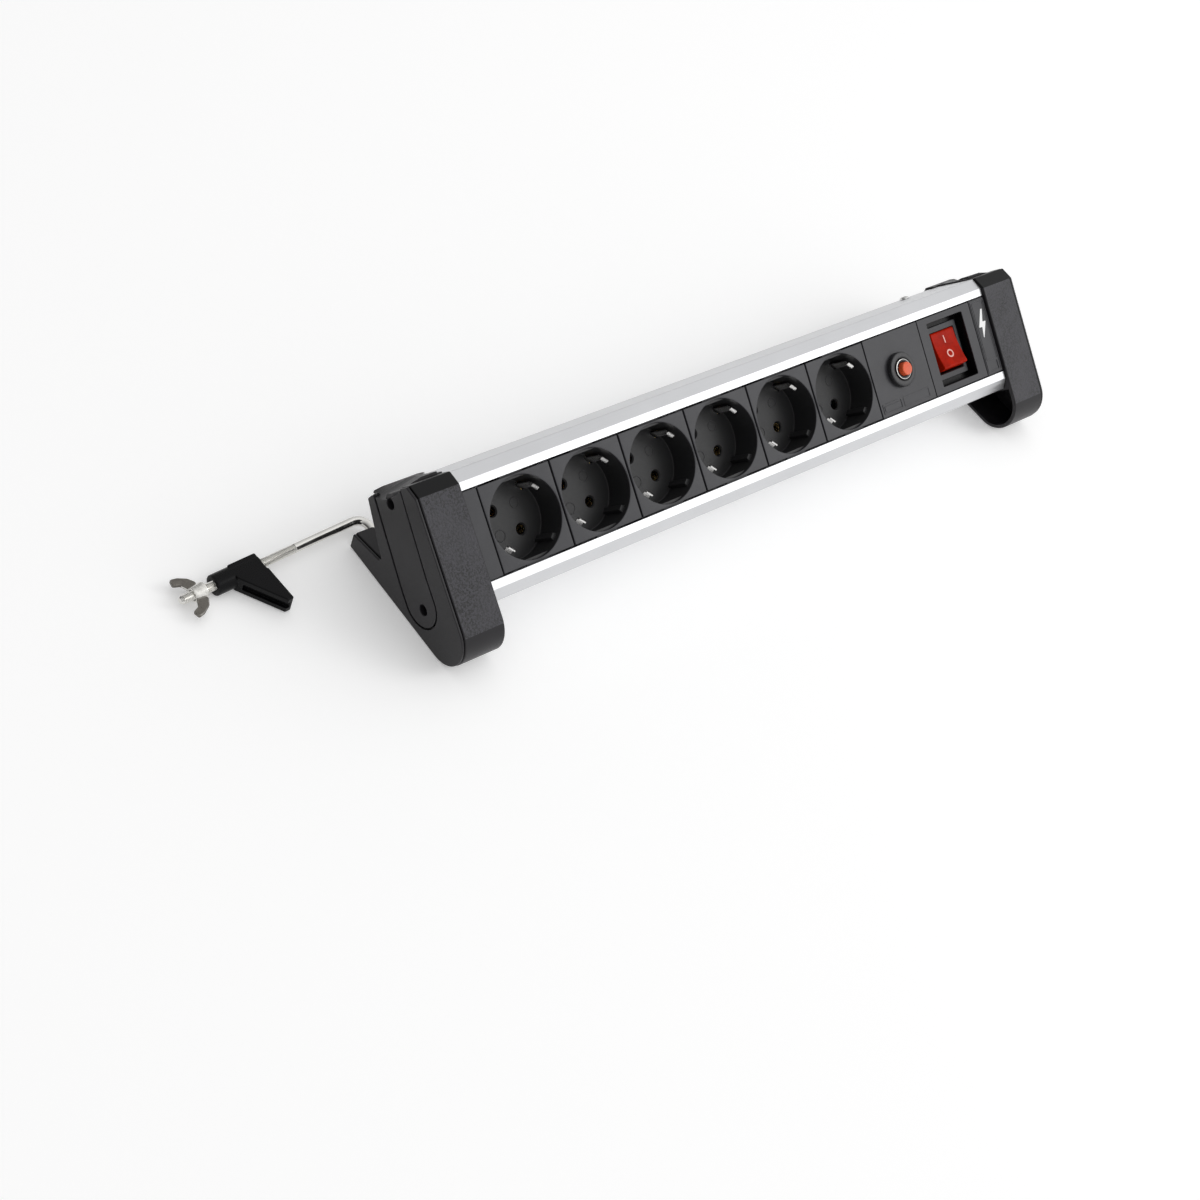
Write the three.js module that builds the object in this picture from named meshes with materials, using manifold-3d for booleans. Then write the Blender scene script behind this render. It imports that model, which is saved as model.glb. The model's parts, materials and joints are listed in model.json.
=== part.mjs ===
// Desk power strip: six earthed sockets, a resettable breaker and a lit rocker switch in a sloping
// aluminium profile, between two moulded feet. Each foot carries a screw clamp for the desk's rear edge.
// Millimetres, +Z up, the feet stand on Z = 0, +X runs along the strip and -Y faces the user.
// The origin is the middle of the left foot's base.
import * as THREE from "three";
import { mergeVertices } from "three/addons/utils/BufferGeometryUtils.js";
import Module from "manifold-3d";

const wasm = await Module();
wasm.setup();

// ---- Driving dimensions ----
const GAP = 0.3; // clearance between neighbouring pieces
const MODULE = 45; // width and height of one panel module
const SOCKETS = 6;
const LEAN = THREE.MathUtils.degToRad(52.9); // how far the panel leans back from upright
const PANEL_LIFT = 37.76; // height of the panel's lower edge above the base
const FOOT_WIDTH = 26;
const LEFT_BLANK = 9.3; // width of the blank plate beside the first socket
const RIGHT_BLANK = 13.3; // width of the label plate beside the switch
const PROFILE_DEPTH = 38.6;
const WALL = 2; // wall of the moulded feet
const BASE_MIDDLE = 31.1; // from the panel's lower edge to the middle of the base, along Y

const RECESS_R = 20.95;
const RECESS_DEPTH = 17.5;
const CUP_R = 22.1;
const PIN_OFFSET = 6.72; // of each pin from the socket's centre, along X and along the panel
const PIN_R = 2.7;
const FACE = 44.5; // width of a module's front plate
const PLATE = 2.2; // thickness of a front plate

const UPPER_SCREW = [21.6, 49.5]; // depth and height on the panel's axes
const LOWER_SCREW = [23.5, -4];
const SCREW_R = 1.45;

const ROD_HEIGHT = 5.6; // axis of the clamp rod above the base
const ROD_R = 2.4;
const THREAD_R = 2.5;
const ROD_CORNER_Y = 79.2 - BASE_MIDDLE; // where the axes of the rod's two arms cross
const ROD_LEAN = THREE.MathUtils.degToRad(4.3); // the long arm leans towards the foot
const ROD_REACH = 110; // from the corner to the rod's end
const THREAD_START = 42.5;
const JAW_FACE = 64; // from the rod's corner to the clamping face
const SLEEVE = 27.2;
const NUT_START = 96.2;
const SHORT_ARM = 40; // from the corner to the rod's end inside the foot
const BEND = 6.5;

const PANEL_LENGTH = MODULE * (SOCKETS + 2);
const BREAKER_X = MODULE * (SOCKETS + 0.5);
const SWITCH_X = MODULE * (SOCKETS + 1.5);
const MID = MODULE / 2;

const BREAKER = { neckR: 5.8, buttonR: 3.75, boreR: 4.05 };
const SWITCH = {
  pocketW: 30,
  pocketH: 37,
  bezelW: 25,
  bezelH: 31,
  bodyW: 21.4,
  bodyH: 27.4,
  face: 4.6,
};
const ROCKER = { pivotY: 8.6, tilt: THREE.MathUtils.degToRad(12) };
const TERMINAL_HEIGHTS = [-9, 9]; // of the breaker's terminals, from the middle
const SWITCH_TERMINALS = [[-5, -7], [5, -7], [-5, 7], [5, 7]];
const GLAND = { x: 337, z: 38, r: 6.2 };
const EARTH_SCREW = { x: 342, y: 30, r: 1.5 };

// ---- Materials ----
const material = (color, roughness, metalness = 0) => () =>
  new THREE.MeshStandardMaterial({ color, roughness, metalness });
const aluminium = material(0xc8c9cc, 0.4, 0.9);
const blackMatt = material(0x1b1b1d, 0.7);
const blackPanel = material(0x232326, 0.55);
const brass = material(0xc9a24a, 0.35, 0.9);
const nickel = material(0xc9c7c2, 0.25, 1);
const zinc = material(0xb8b9bb, 0.35, 1);
const orange = material(0xe2501c, 0.4);
const redLens = material(0xc2170c, 0.2);
const paleCard = material(0xd9d6cc, 0.8);
const brown = material(0x5a3620, 0.5);
const blue = material(0x2a4f9c, 0.5);
const green = material(0x5f9a2f, 0.5);

// ---- Making solids: primitives are three.js geometries, joined and cut as closed solids ----
function solid(shape) {
  if (!shape.isBufferGeometry) return shape;
  const bare = shape.clone();
  bare.deleteAttribute("normal");
  bare.deleteAttribute("uv");
  const merged = mergeVertices(bare, 1e-4);
  return new wasm.Manifold(
    new wasm.Mesh({
      numProp: 3,
      vertProperties: merged.attributes.position.array,
      triVerts: new Uint32Array(merged.index.array),
    }),
  );
}

const join = (first, ...others) => others.reduce((sum, s) => sum.add(solid(s)), solid(first));
const cut = (first, ...tools) => tools.reduce((rest, s) => rest.subtract(solid(s)), solid(first));
const meet = (first, second) => solid(first).intersect(solid(second));

function mesh(name, shape, finish) {
  const { vertProperties, triVerts } = solid(shape).getMesh();
  const geometry = new THREE.BufferGeometry();
  geometry.setAttribute("position", new THREE.BufferAttribute(vertProperties, 3));
  geometry.setIndex(new THREE.BufferAttribute(triVerts, 1));
  geometry.computeVertexNormals();
  const made = new THREE.Mesh(geometry, finish());
  made.name = name;
  return made;
}

const box = ([x0, x1], [y0, y1], [z0, z1]) =>
  new THREE.BoxGeometry(x1 - x0, y1 - y0, z1 - z0).translate(
    (x0 + x1) / 2,
    (y0 + y1) / 2,
    (z0 + z1) / 2,
  );

// Cylinders and cones along each axis, from a to b, with radius ra at a and rb at b.
const alongY = (x, z, [a, b], ra, rb = ra, sides = 24) =>
  new THREE.CylinderGeometry(rb, ra, b - a, sides).translate(x, (a + b) / 2, z);
const alongX = (y, z, [a, b], ra, rb = ra, sides = 24) =>
  new THREE.CylinderGeometry(rb, ra, b - a, sides)
    .rotateZ(-Math.PI / 2)
    .translate((a + b) / 2, y, z);
const alongZ = (x, y, [a, b], ra, rb = ra, sides = 16) =>
  new THREE.CylinderGeometry(rb, ra, b - a, sides).rotateX(Math.PI / 2).translate(x, y, (a + b) / 2);

const outline = (points) => new THREE.Shape(points.map(([a, b]) => new THREE.Vector2(a, b)));
const extruded = (shape, depth, curveSegments) =>
  new THREE.ExtrudeGeometry(shape, { depth, bevelEnabled: false, curveSegments });

// A shape drawn in depth and height (Y, Z), drawn out along X.
function prism(shape, [x0, x1], curveSegments = 10) {
  const turned = new THREE.Matrix4().makeBasis(
    new THREE.Vector3(0, 1, 0),
    new THREE.Vector3(0, 0, 1),
    new THREE.Vector3(1, 0, 0),
  );
  return extruded(shape, x1 - x0, curveSegments).applyMatrix4(turned).translate(x0, 0, 0);
}

// A shape drawn in X and Y, drawn out along Z.
const slab = (shape, [z0, z1]) => extruded(shape, z1 - z0, 8).translate(0, 0, z0);

// From the standing frame to the panel's own leaning frame.
const leaned = (geometry) => geometry.translate(0, 0, -PANEL_LIFT).rotateX(LEAN);

// ---- Aluminium profile: a channel, open at the front between two lips ----
function aluminiumProfile() {
  const section = outline([
    [0, 45.3], [0, 49.5], [3.8, 55.6], [35.2, 56.4], [PROFILE_DEPTH, 53.2],
    [PROFILE_DEPTH, -7.9], [35.2, -11.3], [3.8, -10.6], [0, -4.7], [0, -0.3],
    [1.6, -0.3], [1.6, -4.2], [4.7, -9], [34.6, -9.7], [37, -7.2],
    [37, 52.5], [34.6, 54.8], [4.7, 54], [1.6, 49], [1.6, 45.3],
  ]);
  const ends = [-LEFT_BLANK + GAP, PANEL_LENGTH + RIGHT_BLANK - GAP];
  const channels = [UPPER_SCREW, LOWER_SCREW].flatMap(([y, z]) => {
    const rib = z > 0 ? [z, 54.6] : [-9.8, z];
    return [alongX(y, z, ends, 3.5, 3.5, 12), box(ends, [y - 1.2, y + 1.2], rib)];
  });
  const holes = [UPPER_SCREW, LOWER_SCREW].map(([y, z]) =>
    alongX(y, z, [ends[0] - 1, ends[1] + 1], SCREW_R + GAP, SCREW_R + GAP, 12),
  );
  const glandHole = alongY(GLAND.x, GLAND.z, [35, 42], GLAND.r + GAP);
  const earthHole = alongZ(EARTH_SCREW.x, EARTH_SCREW.y, [50, 60], EARTH_SCREW.r + GAP);
  return cut(join(prism(section, ends), ...channels), ...holes, glandHole, earthHole);
}

// ---- Sockets ----
const frontPlate = (x, width, thickness = PLATE) =>
  box([x - width / 2, x + width / 2], [0, thickness], [MID - FACE / 2 + 0.1, MID + FACE / 2 - 0.1]);

// Hooks behind the profile's lips, above and below a module.
function snapHooks(x, width) {
  const half = width / 2;
  return [
    box([x - half, x + half], [2.1, 3.4], [42, 47.3]),
    box([x - half, x + half], [2.1, 3.4], [-2.3, 3]),
  ];
}

// A bar along a socket's diagonal: r is measured towards the upper right, w across it.
const onDiagonal = (cx, [r0, r1], [y0, y1], width) =>
  box([r0, r1], [y0, y1], [-width / 2, width / 2]).rotateY(-Math.PI / 4).translate(cx, 0, MID);

function socketModule(cx) {
  const cup = join(
    frontPlate(cx, FACE),
    alongY(cx, MID, [0.5, RECESS_DEPTH + 2], CUP_R, CUP_R, 48),
    ...snapHooks(cx, 14),
  );
  const recess = alongY(cx, MID, [-1, RECESS_DEPTH], RECESS_R, RECESS_R, 48);
  const pins = [-1, 1].map((side) =>
    alongY(cx + side * PIN_OFFSET, MID - side * PIN_OFFSET, [10, 25], PIN_R, PIN_R, 16),
  );
  const slots = [-1, 1].map((side) =>
    onDiagonal(cx, [side * 19.4 - 1.4, side * 19.4 + 1.4], [3, 25], 5.4),
  );
  const ribs = [-1, 1].map((side) =>
    box([side * 19.9 - 1.3, side * 19.9 + 1.3], [3, RECESS_DEPTH + 1], [-2.2, 2.2])
      .rotateY(Math.PI / 4)
      .translate(cx, 0, MID),
  );
  return join(cut(cup, recess, ...pins, ...slots), ...ribs);
}

// The earth contact is one bent strip: a yoke behind the floor and two arms that end in sprung hooks.
function earthClip(cx) {
  const arm = (side) => [
    [side * 19.4, 20.6], [side * 19.4, 5.4], [side * 16.6, 3.9], [side * 17.8, 2.2],
    [side * 17.3, 1.8], [side * 15.8, 4], [side * 18.7, 5.9], [side * 18.7, 19.9],
  ];
  const strip = outline([...arm(1), ...arm(-1).reverse()]);
  const width = 4.2;
  return extruded(strip, width, 1)
    .translate(0, 0, -width / 2)
    .rotateY(-Math.PI / 4)
    .translate(cx, 0, MID);
}

// A live rail behind the sockets: a strip with a hole and a pair of spring leaves at each pin.
function pinRail(side) {
  const z = MID - side * PIN_OFFSET;
  const pins = Array.from({ length: SOCKETS }, (_, i) => MODULE * (i + 0.5) + side * PIN_OFFSET);
  const strip = box([pins[0] - 7, pins[SOCKETS - 1] + 7], [33.2, 33.8], [z - 4.6, z + 4.6]);
  const leaves = pins.flatMap((x) =>
    [-1, 1].map((s) => box([x - 2.5, x + 2.5], [21.4, 33.4], [z + s * 3.1 - 0.3, z + s * 3.1 + 0.3])),
  );
  const holes = pins.map((x) => alongY(x, z, [32, 35], PIN_R, PIN_R, 12));
  return cut(join(strip, ...leaves), ...holes);
}

function earthRail() {
  return box([12, MODULE * SOCKETS - 12], [21, 21.6], [MID - 2, MID + 2]);
}

function rearInsulator() {
  return box([4, MODULE * SOCKETS - 4], [36.1, 36.7], [6, 39]);
}

// ---- Breaker ----
function breakerPlate() {
  const plate = join(frontPlate(BREAKER_X, FACE), ...snapHooks(BREAKER_X, 14));
  return cut(plate, alongY(BREAKER_X, MID, [-1, 4], BREAKER.neckR + GAP));
}

function breakerBody() {
  const half = 8;
  const body = box([BREAKER_X - half, BREAKER_X + half], [PLATE + GAP, 29], [MID - 17, MID + 17]);
  const neck = alongY(BREAKER_X, MID, [-3.4, 4], BREAKER.neckR);
  const slots = TERMINAL_HEIGHTS.map((z) =>
    box([BREAKER_X - 3.5, BREAKER_X + 3.5], [26, 30], [MID + z - 0.7, MID + z + 0.7]),
  );
  return cut(join(body, neck), alongY(BREAKER_X, MID, [-5, 16], BREAKER.boreR), ...slots);
}

const breakerTerminal = (z) =>
  box([BREAKER_X - 3.15, BREAKER_X + 3.15], [26.4, 33.2], [MID + z - 0.4, MID + z + 0.4]);

function breakerNut() {
  const ring = join(
    alongY(BREAKER_X, MID, [-2.2, -GAP], 9.8),
    alongY(BREAKER_X, MID, [-3.1, -2.2], 8.6, 9.8),
  );
  return cut(ring, alongY(BREAKER_X, MID, [-5, 2], BREAKER.neckR + GAP));
}

function breakerButton() {
  return join(
    alongY(BREAKER_X, MID, [-5.6, 12], BREAKER.buttonR),
    alongY(BREAKER_X, MID, [-6.2, -5.6], BREAKER.buttonR - 0.5, BREAKER.buttonR),
  );
}

// ---- Switch ----
const centred = (x, width, [y0, y1], height) =>
  box([x - width / 2, x + width / 2], [y0, y1], [MID - height / 2, MID + height / 2]);

function switchPlate() {
  const floor = SWITCH.face + 2;
  const outer = join(
    frontPlate(SWITCH_X, FACE),
    centred(SWITCH_X, SWITCH.pocketW + 3, [1, floor + 1.6], SWITCH.pocketH + 3),
    ...snapHooks(SWITCH_X, 14),
  );
  return cut(
    outer,
    centred(SWITCH_X, SWITCH.pocketW, [-1, floor], SWITCH.pocketH),
    centred(SWITCH_X, SWITCH.bodyW + 2 * GAP, [0, 12], SWITCH.bodyH + 2 * GAP),
  );
}

function switchHousing() {
  const { face, bezelW, bezelH, bodyW, bodyH } = SWITCH;
  const outer = join(
    centred(SWITCH_X, bezelW, [face, face + 2 - GAP], bezelH),
    centred(SWITCH_X, bodyW, [face + 1, 29], bodyH),
  );
  const slots = SWITCH_TERMINALS.map(([dx, dz]) =>
    box([SWITCH_X + dx - 0.7, SWITCH_X + dx + 0.7], [26, 30], [MID + dz - 3.5, MID + dz + 3.5]),
  );
  return cut(outer, centred(SWITCH_X, 20.2, [0, 24], 24.2), ...slots);
}

const switchTerminal = ([dx, dz]) =>
  box([SWITCH_X + dx - 0.4, SWITCH_X + dx + 0.4], [26.4, 33.2], [MID + dz - 3.15, MID + dz + 3.15]);

// The rocker's upper half is pressed in, so its lower edge stands proud as a ridge.
function rocker() {
  const section = outline([
    [-6.4, -10.3], [-5.4, 0], [-6.4, 10.3], [-2, 11.3],
    [3, 10.2], [5, 4], [5, -4], [3, -10.2], [-2, -11.3],
  ]);
  return prism(section, [SWITCH_X - 9.75, SWITCH_X + 9.75])
    .rotateX(-ROCKER.tilt)
    .translate(0, ROCKER.pivotY, MID);
}

const indicatorLamp = () => alongX(17.5, MID, [SWITCH_X - 6, SWITCH_X + 6], 2.2, 2.2, 12);

// ---- Blank plates at the panel's ends ----
function endPlate(x0, x1) {
  const legs = join(box([x0 + 1, x1 - 1], [2, 9], [5, 7]), box([x0 + 1, x1 - 1], [2, 9], [38, 40]));
  const hooks = snapHooks((x0 + x1) / 2, x1 - x0 - 3);
  return join(frontPlate((x0 + x1) / 2, x1 - x0), legs, ...hooks);
}

// ---- Feet. X = 0 is the face beside the panel and the foot reaches out to X = -FOOT_WIDTH. ----
const TOE = { y: 14, z: -17.56, r: 16 }; // the round front of the foot
const sine = Math.sin(Math.PI / 2 - LEAN); // the base's direction on the panel's axes is (sine, cosine)
const cosine = Math.cos(Math.PI / 2 - LEAN);
const baseAngle = -(Math.PI / 2 - LEAN); // of the base's outward normal, seen from the toe's centre

// The foot's side outline, drawn inset from the outer surface: toe, sole, leg, back and sloped brow.
function footOutline(inset) {
  const shape = new THREE.Shape();
  const leg = { y: 71.7 - inset * 1.4, z: 32.7 - inset * 0.2 };
  shape.moveTo(36.4 - inset, 55.6 - inset * 0.3);
  shape.lineTo(9.2, 56 - inset);
  shape.lineTo(2.6 + inset * 0.4, 56 - inset);
  shape.lineTo(-2 + inset, 49.3 - inset * 0.4);
  shape.lineTo(-2 + inset, TOE.z);
  shape.absarc(TOE.y, TOE.z, TOE.r - inset, Math.PI, 2 * Math.PI + baseAngle, false);
  shape.lineTo(leg.y - 1.2 * sine, leg.z - 1.2 * cosine);
  shape.lineTo(leg.y - 0.2 * cosine, leg.z + 0.8 * sine);
  shape.lineTo(64.4 - inset, 38.6 - inset * 0.8);
  shape.lineTo(46.6 - inset * 1.4, 22.2 - inset);
  shape.lineTo(40.2 - inset, 54.6 - inset * 0.3);
  shape.closePath();
  return shape;
}

// The tongue of the end cap, grown by g all round. It runs on past the top.
function tongue(g) {
  const shape = new THREE.Shape();
  shape.moveTo(9.5 - g, 60);
  shape.lineTo(12.3 - g, 12);
  shape.lineTo(12.3 - g, -1.2);
  shape.absarc(24.25, -1.2, 11.95 + g, Math.PI, 2 * Math.PI, false);
  shape.lineTo(36.2 + g, 8);
  shape.lineTo(34.8 + g, 28.3);
  shape.lineTo(32.7 + g, 60);
  shape.closePath();
  return shape;
}

// The hollow inside a foot: open at the top, where the end cap closes it, and towards the strip.
function footHollow() {
  const shape = new THREE.Shape();
  shape.moveTo(9.2, 60);
  shape.lineTo(9.2, 54);
  shape.lineTo(3.8, 54);
  shape.lineTo(0, 48.4);
  shape.lineTo(0, TOE.z);
  shape.absarc(TOE.y, TOE.z, TOE.r - WALL, Math.PI, 2 * Math.PI + baseAngle, false);
  shape.lineTo(55.1, 13.5);
  shape.lineTo(47.1, 19.5);
  shape.lineTo(44.6, 21.8);
  shape.lineTo(38.2, 54.2);
  shape.lineTo(37.4, 60);
  shape.closePath();
  return shape;
}

const OUTER = -FOOT_WIDTH;
const SIDE_PLATE = 1.5;
const WEB = [OUTER + SIDE_PLATE + GAP, OUTER + SIDE_PLATE + GAP + 1.6];
const END_WALL = 2.7;
const EAR = 4.2; // how far the end cap's ear reaches over the profile

function footBracket() {
  const whole = prism(footOutline(0), [WEB[0], 0]);
  const hollow = prism(footHollow(), [WEB[1], 1]);
  const endWall = cut(
    meet(prism(footOutline(0.2), [-END_WALL, 0]), box([-30, 5], [-5, 80], [-11.5, 60])),
    box([-30, 5], [9.2, 37.6], [51.9, 62]),
  );
  const bore = leaned(alongY(OUTER / 2, ROD_HEIGHT, [40, 75], ROD_R + 0.4));
  const clipRoom = leaned(alongY(OUTER / 2, ROD_HEIGHT, [36, 43.9], 4.4));
  const screws = [UPPER_SCREW, LOWER_SCREW].map(([y, z]) =>
    alongX(y, z, [-8, 2], SCREW_R + GAP, SCREW_R + GAP, 12),
  );
  const window = prism(tongue(GAP + 0.1), [WEB[0] - 1, WEB[1] + 0.1]);
  return cut(join(cut(whole, hollow), endWall), bore, clipRoom, window, ...screws);
}

function sidePlate() {
  const plate = prism(footOutline(0.4), [OUTER, OUTER + SIDE_PLATE]);
  return cut(plate, prism(tongue(GAP + 0.1), [OUTER - 1, OUTER + 3]));
}

// The end cap: a tongue sunk in the foot, a scooped top and an ear hooked over the profile's back.
function endCap() {
  const front = OUTER + 0.2;
  const core = meet(prism(tongue(0), [front, -END_WALL - GAP]), box([-40, 5], [0, 50], [-20, 57.6]));
  const top = prism(
    outline([[9.7, 52.3], [37.3, 52.3], [37.3, 55.5], [40, 55.5], [37.6, 57.6], [9.7, 56.6]]),
    [WEB[1] + GAP, 0],
  );
  const ear = prism(
    outline([[31, 56.9], [33, 57.6], [37.6, 57.6], [40.2, 55.5], [37.3, 55.5], [35.4, 56.9]]),
    [-0.5, EAR],
  );
  const hook = prism(outline([[39.4, 56.2], [41, 55.4], [41.2, 47], [39.4, 47]]), [GAP, EAR]);
  const profileRoom = prism(
    outline([[-5, 40], [-5, 56.9], [35.4, 56.9], [39.1, 53.5], [39.1, 40]]),
    [0.01, 9],
  );
  const scoop = alongX(22.5, 0, [-40, 40], 32, 32, 64).rotateY(-0.209).translate(0, 0, 90.1);
  const hollow = meet(
    prism(tongue(-2.2), [front + 2.5, 0]),
    box([-40, 5], [0, 50], [-20, 45]),
  );
  const bosses = [UPPER_SCREW, LOWER_SCREW].map(([y, z]) =>
    meet(alongX(y, z, [front + 1, -END_WALL - GAP], 5, 5, 20), prism(tongue(0), [-40, 5])),
  );
  const wells = [UPPER_SCREW, LOWER_SCREW].flatMap(([y, z]) => [
    alongX(y, z, [OUTER - 1, -10.2], 3, 3, 20),
    alongX(y, z, [-11, 1], SCREW_R + GAP, SCREW_R + GAP, 12),
  ]);
  const outside = cut(join(core, top, ear, hook), profileRoom, scoop, hollow);
  return cut(join(outside, ...bosses), ...wells);
}

const capScrew = ([y, z]) =>
  join(
    alongX(y, z, [-13.2, -10.5], 2.6, 2.7, 16),
    alongX(y, z, [-11, 14], SCREW_R, SCREW_R, 12),
  );

// ---- Clamp, in the frame of the rod's corner: the long arm points along -X, the foot lies along -Y ----
function clampRod() {
  const circle = new THREE.Shape().absarc(0, 0, ROD_R, 0, 2 * Math.PI);
  const tip = new THREE.Vector3(-Math.cos(ROD_LEAN), -Math.sin(ROD_LEAN), 0);
  const bend = new THREE.QuadraticBezierCurve3(
    new THREE.Vector3(0, -BEND - 0.2, 0),
    new THREE.Vector3(0, 0, 0),
    tip.clone().multiplyScalar(BEND + 0.2),
  );
  const elbow = new THREE.ExtrudeGeometry(circle, { steps: 8, extrudePath: bend, curveSegments: 8 });
  return join(
    elbow,
    alongY(0, 0, [-SHORT_ARM, -BEND], ROD_R, ROD_R, 16),
    alongX(0, 0, [-THREAD_START - 0.2, -BEND], ROD_R, ROD_R, 16).rotateZ(ROD_LEAN),
    alongX(0, 0, [-ROD_REACH + 0.8, -THREAD_START], THREAD_R, THREAD_R, 16).rotateZ(ROD_LEAN),
    alongX(0, 0, [-ROD_REACH, -ROD_REACH + 0.8], THREAD_R - 0.7, THREAD_R, 16).rotateZ(ROD_LEAN),
  );
}

const rodClip = () => cut(alongY(0, 0, [-37.6, -36.8], 4, 4, 20), alongY(0, 0, [-39, -35], ROD_R + GAP));

// The jaw: a sleeve on the rod and a tapered arm. Its clamping pad stands just proud of the sleeve's end.
function clampJaw() {
  const pad = -JAW_FACE;
  const out = pad - 0.6;
  const arm = slab(
    outline([
      [out, 4.4], [out, -6], [pad, -6.6], [pad, -27],
      [out - 2.9, -27], [out - 16.4, -4.4], [out - 16.4, 4.4],
    ]),
    [-5, 5],
  );
  const groove = slab(
    outline([[out - 1.8, -29], [out - 14.8, -7.4], [out - 13.6, -6.7], [out - 0.6, -28.3]]),
    [-1.8, 1.8],
  );
  const sleeve = alongX(0, 0, [pad - SLEEVE, out], 5.4, 5.4, 32);
  return cut(join(sleeve, arm), alongX(0, 0, [pad - 40, pad + 5], THREAD_R + GAP), groove);
}

function wingNut() {
  const shape = [
    [-2, 2.6], [-1.2, 5.6], [-3.4, 9], [-7.6, 11.6],
    [-11.4, 12.4], [-12.2, 8.6], [-8.6, 7.2], [-6.4, 2.6],
  ];
  const wing = (side) => slab(outline(shape.map(([x, y]) => [x - NUT_START, side * y])), [-1, 1]);
  const hub = alongX(0, 0, [-NUT_START - 7, -NUT_START], 3.7, 4.4);
  const bore = alongX(0, 0, [-NUT_START - 9, -NUT_START + 2], THREAD_R + GAP);
  return cut(join(hub, wing(1), wing(-1)), bore);
}

// ---- Cable inlet, earth screw and internal leads ----
const ringed = (r, [a, b], sides) => alongY(GLAND.x, GLAND.z, [a, b], r, r, sides);

const cableGland = () =>
  cut(
    join(
      ringed(GLAND.r, [33.8, 40], 24),
      ringed(9.2, [PROFILE_DEPTH + GAP, 42], 6),
      alongY(GLAND.x, GLAND.z, [42, 48], 7.4, 6),
    ),
    ringed(3.6, [30, 60], 20),
  );

const glandNut = () => cut(ringed(8.8, [34, 36.7], 6), ringed(GLAND.r + GAP, [30, 40], 24));

const earthScrew = () =>
  join(
    alongZ(EARTH_SCREW.x, EARTH_SCREW.y, [56.7, 57.9], 2.9, 2.4),
    alongZ(EARTH_SCREW.x, EARTH_SCREW.y, [50.5, 57], EARTH_SCREW.r),
  );

const LIVE_ROUTE = [
  [330.6, 33, 15.5], [318, 33, 6], [306, 34, 5], [297.2, 33, 12.5],
];
const NEUTRAL_ROUTE = [
  [330.6, 33, 29.5], [314, 33.5, 38], [296, 33.2, 41.5],
  [278, 33, 34], [266, 33.4, 20], [262.9, 33.5, 16],
];
const EARTH_ROUTE = [
  [340, 30, 48], [320, 32, 47.5], [296, 32.5, 45.5],
  [276, 30, 36], [264, 25, 26], [256, 23.1, 22.5],
];

function lead(points, r = 1.2) {
  const path = new THREE.CatmullRomCurve3(points.map((p) => new THREE.Vector3(...p)));
  const circle = new THREE.Shape().absarc(0, 0, r, 0, 2 * Math.PI);
  return new THREE.ExtrudeGeometry(circle, { steps: 14, extrudePath: path, curveSegments: 4 });
}

// ---- Assembly ----
const strip = new THREE.Group();
const panel = new THREE.Group();
panel.position.set(LEFT_BLANK + FOOT_WIDTH / 2, -BASE_MIDDLE, PANEL_LIFT);
panel.rotation.x = -LEAN;
strip.add(panel);

panel.add(mesh("aluminium_profile", aluminiumProfile(), aluminium));
panel.add(mesh("left_blank_plate", endPlate(-LEFT_BLANK + GAP, -GAP), blackPanel));
panel.add(
  mesh("right_label_plate", endPlate(PANEL_LENGTH + 0.25, PANEL_LENGTH + RIGHT_BLANK - GAP), blackPanel),
);
for (let i = 0; i < SOCKETS; i++) {
  const cx = MODULE * (i + 0.5);
  panel.add(mesh(`socket_module_${i + 1}`, socketModule(cx), blackPanel));
  panel.add(mesh(`earth_clip_${i + 1}`, earthClip(cx), nickel));
}
panel.add(mesh("phase_rail", pinRail(-1), brass));
panel.add(mesh("neutral_rail", pinRail(1), brass));
panel.add(mesh("earth_rail", earthRail(), brass));
panel.add(mesh("rear_insulator", rearInsulator(), paleCard));

panel.add(mesh("breaker_plate", breakerPlate(), blackPanel));
panel.add(mesh("breaker_body", breakerBody(), blackMatt));
panel.add(mesh("breaker_nut", breakerNut(), blackMatt));
panel.add(mesh("breaker_button", breakerButton(), orange));
TERMINAL_HEIGHTS.forEach((z, i) =>
  panel.add(mesh(`breaker_terminal_${i + 1}`, breakerTerminal(z), brass)),
);

panel.add(mesh("switch_plate", switchPlate(), blackPanel));
panel.add(mesh("switch_housing", switchHousing(), blackMatt));
panel.add(mesh("rocker", rocker(), redLens));
panel.add(mesh("indicator_lamp", indicatorLamp(), redLens));
SWITCH_TERMINALS.forEach((place, i) =>
  panel.add(mesh(`switch_terminal_${i + 1}`, switchTerminal(place), brass)),
);

panel.add(mesh("cable_gland", cableGland(), blackMatt));
panel.add(mesh("gland_nut", glandNut(), blackMatt));
panel.add(mesh("earth_screw", earthScrew(), zinc));
panel.add(mesh("live_lead", lead(LIVE_ROUTE), brown));
panel.add(mesh("neutral_lead", lead(NEUTRAL_ROUTE), blue));
panel.add(mesh("earth_lead", lead(EARTH_ROUTE), green));

for (const [side, x, hand] of [
  ["left", -LEFT_BLANK, 1],
  ["right", PANEL_LENGTH + RIGHT_BLANK, -1],
]) {
  const foot = new THREE.Group();
  foot.position.x = x;
  foot.scale.x = hand;
  foot.add(mesh(`${side}_foot`, footBracket(), blackMatt));
  foot.add(mesh(`${side}_side_plate`, sidePlate(), blackMatt));
  foot.add(mesh(`${side}_end_cap`, endCap(), blackMatt));
  foot.add(mesh(`${side}_upper_screw`, capScrew(UPPER_SCREW), zinc));
  foot.add(mesh(`${side}_lower_screw`, capScrew(LOWER_SCREW), zinc));
  panel.add(foot);
}

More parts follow.
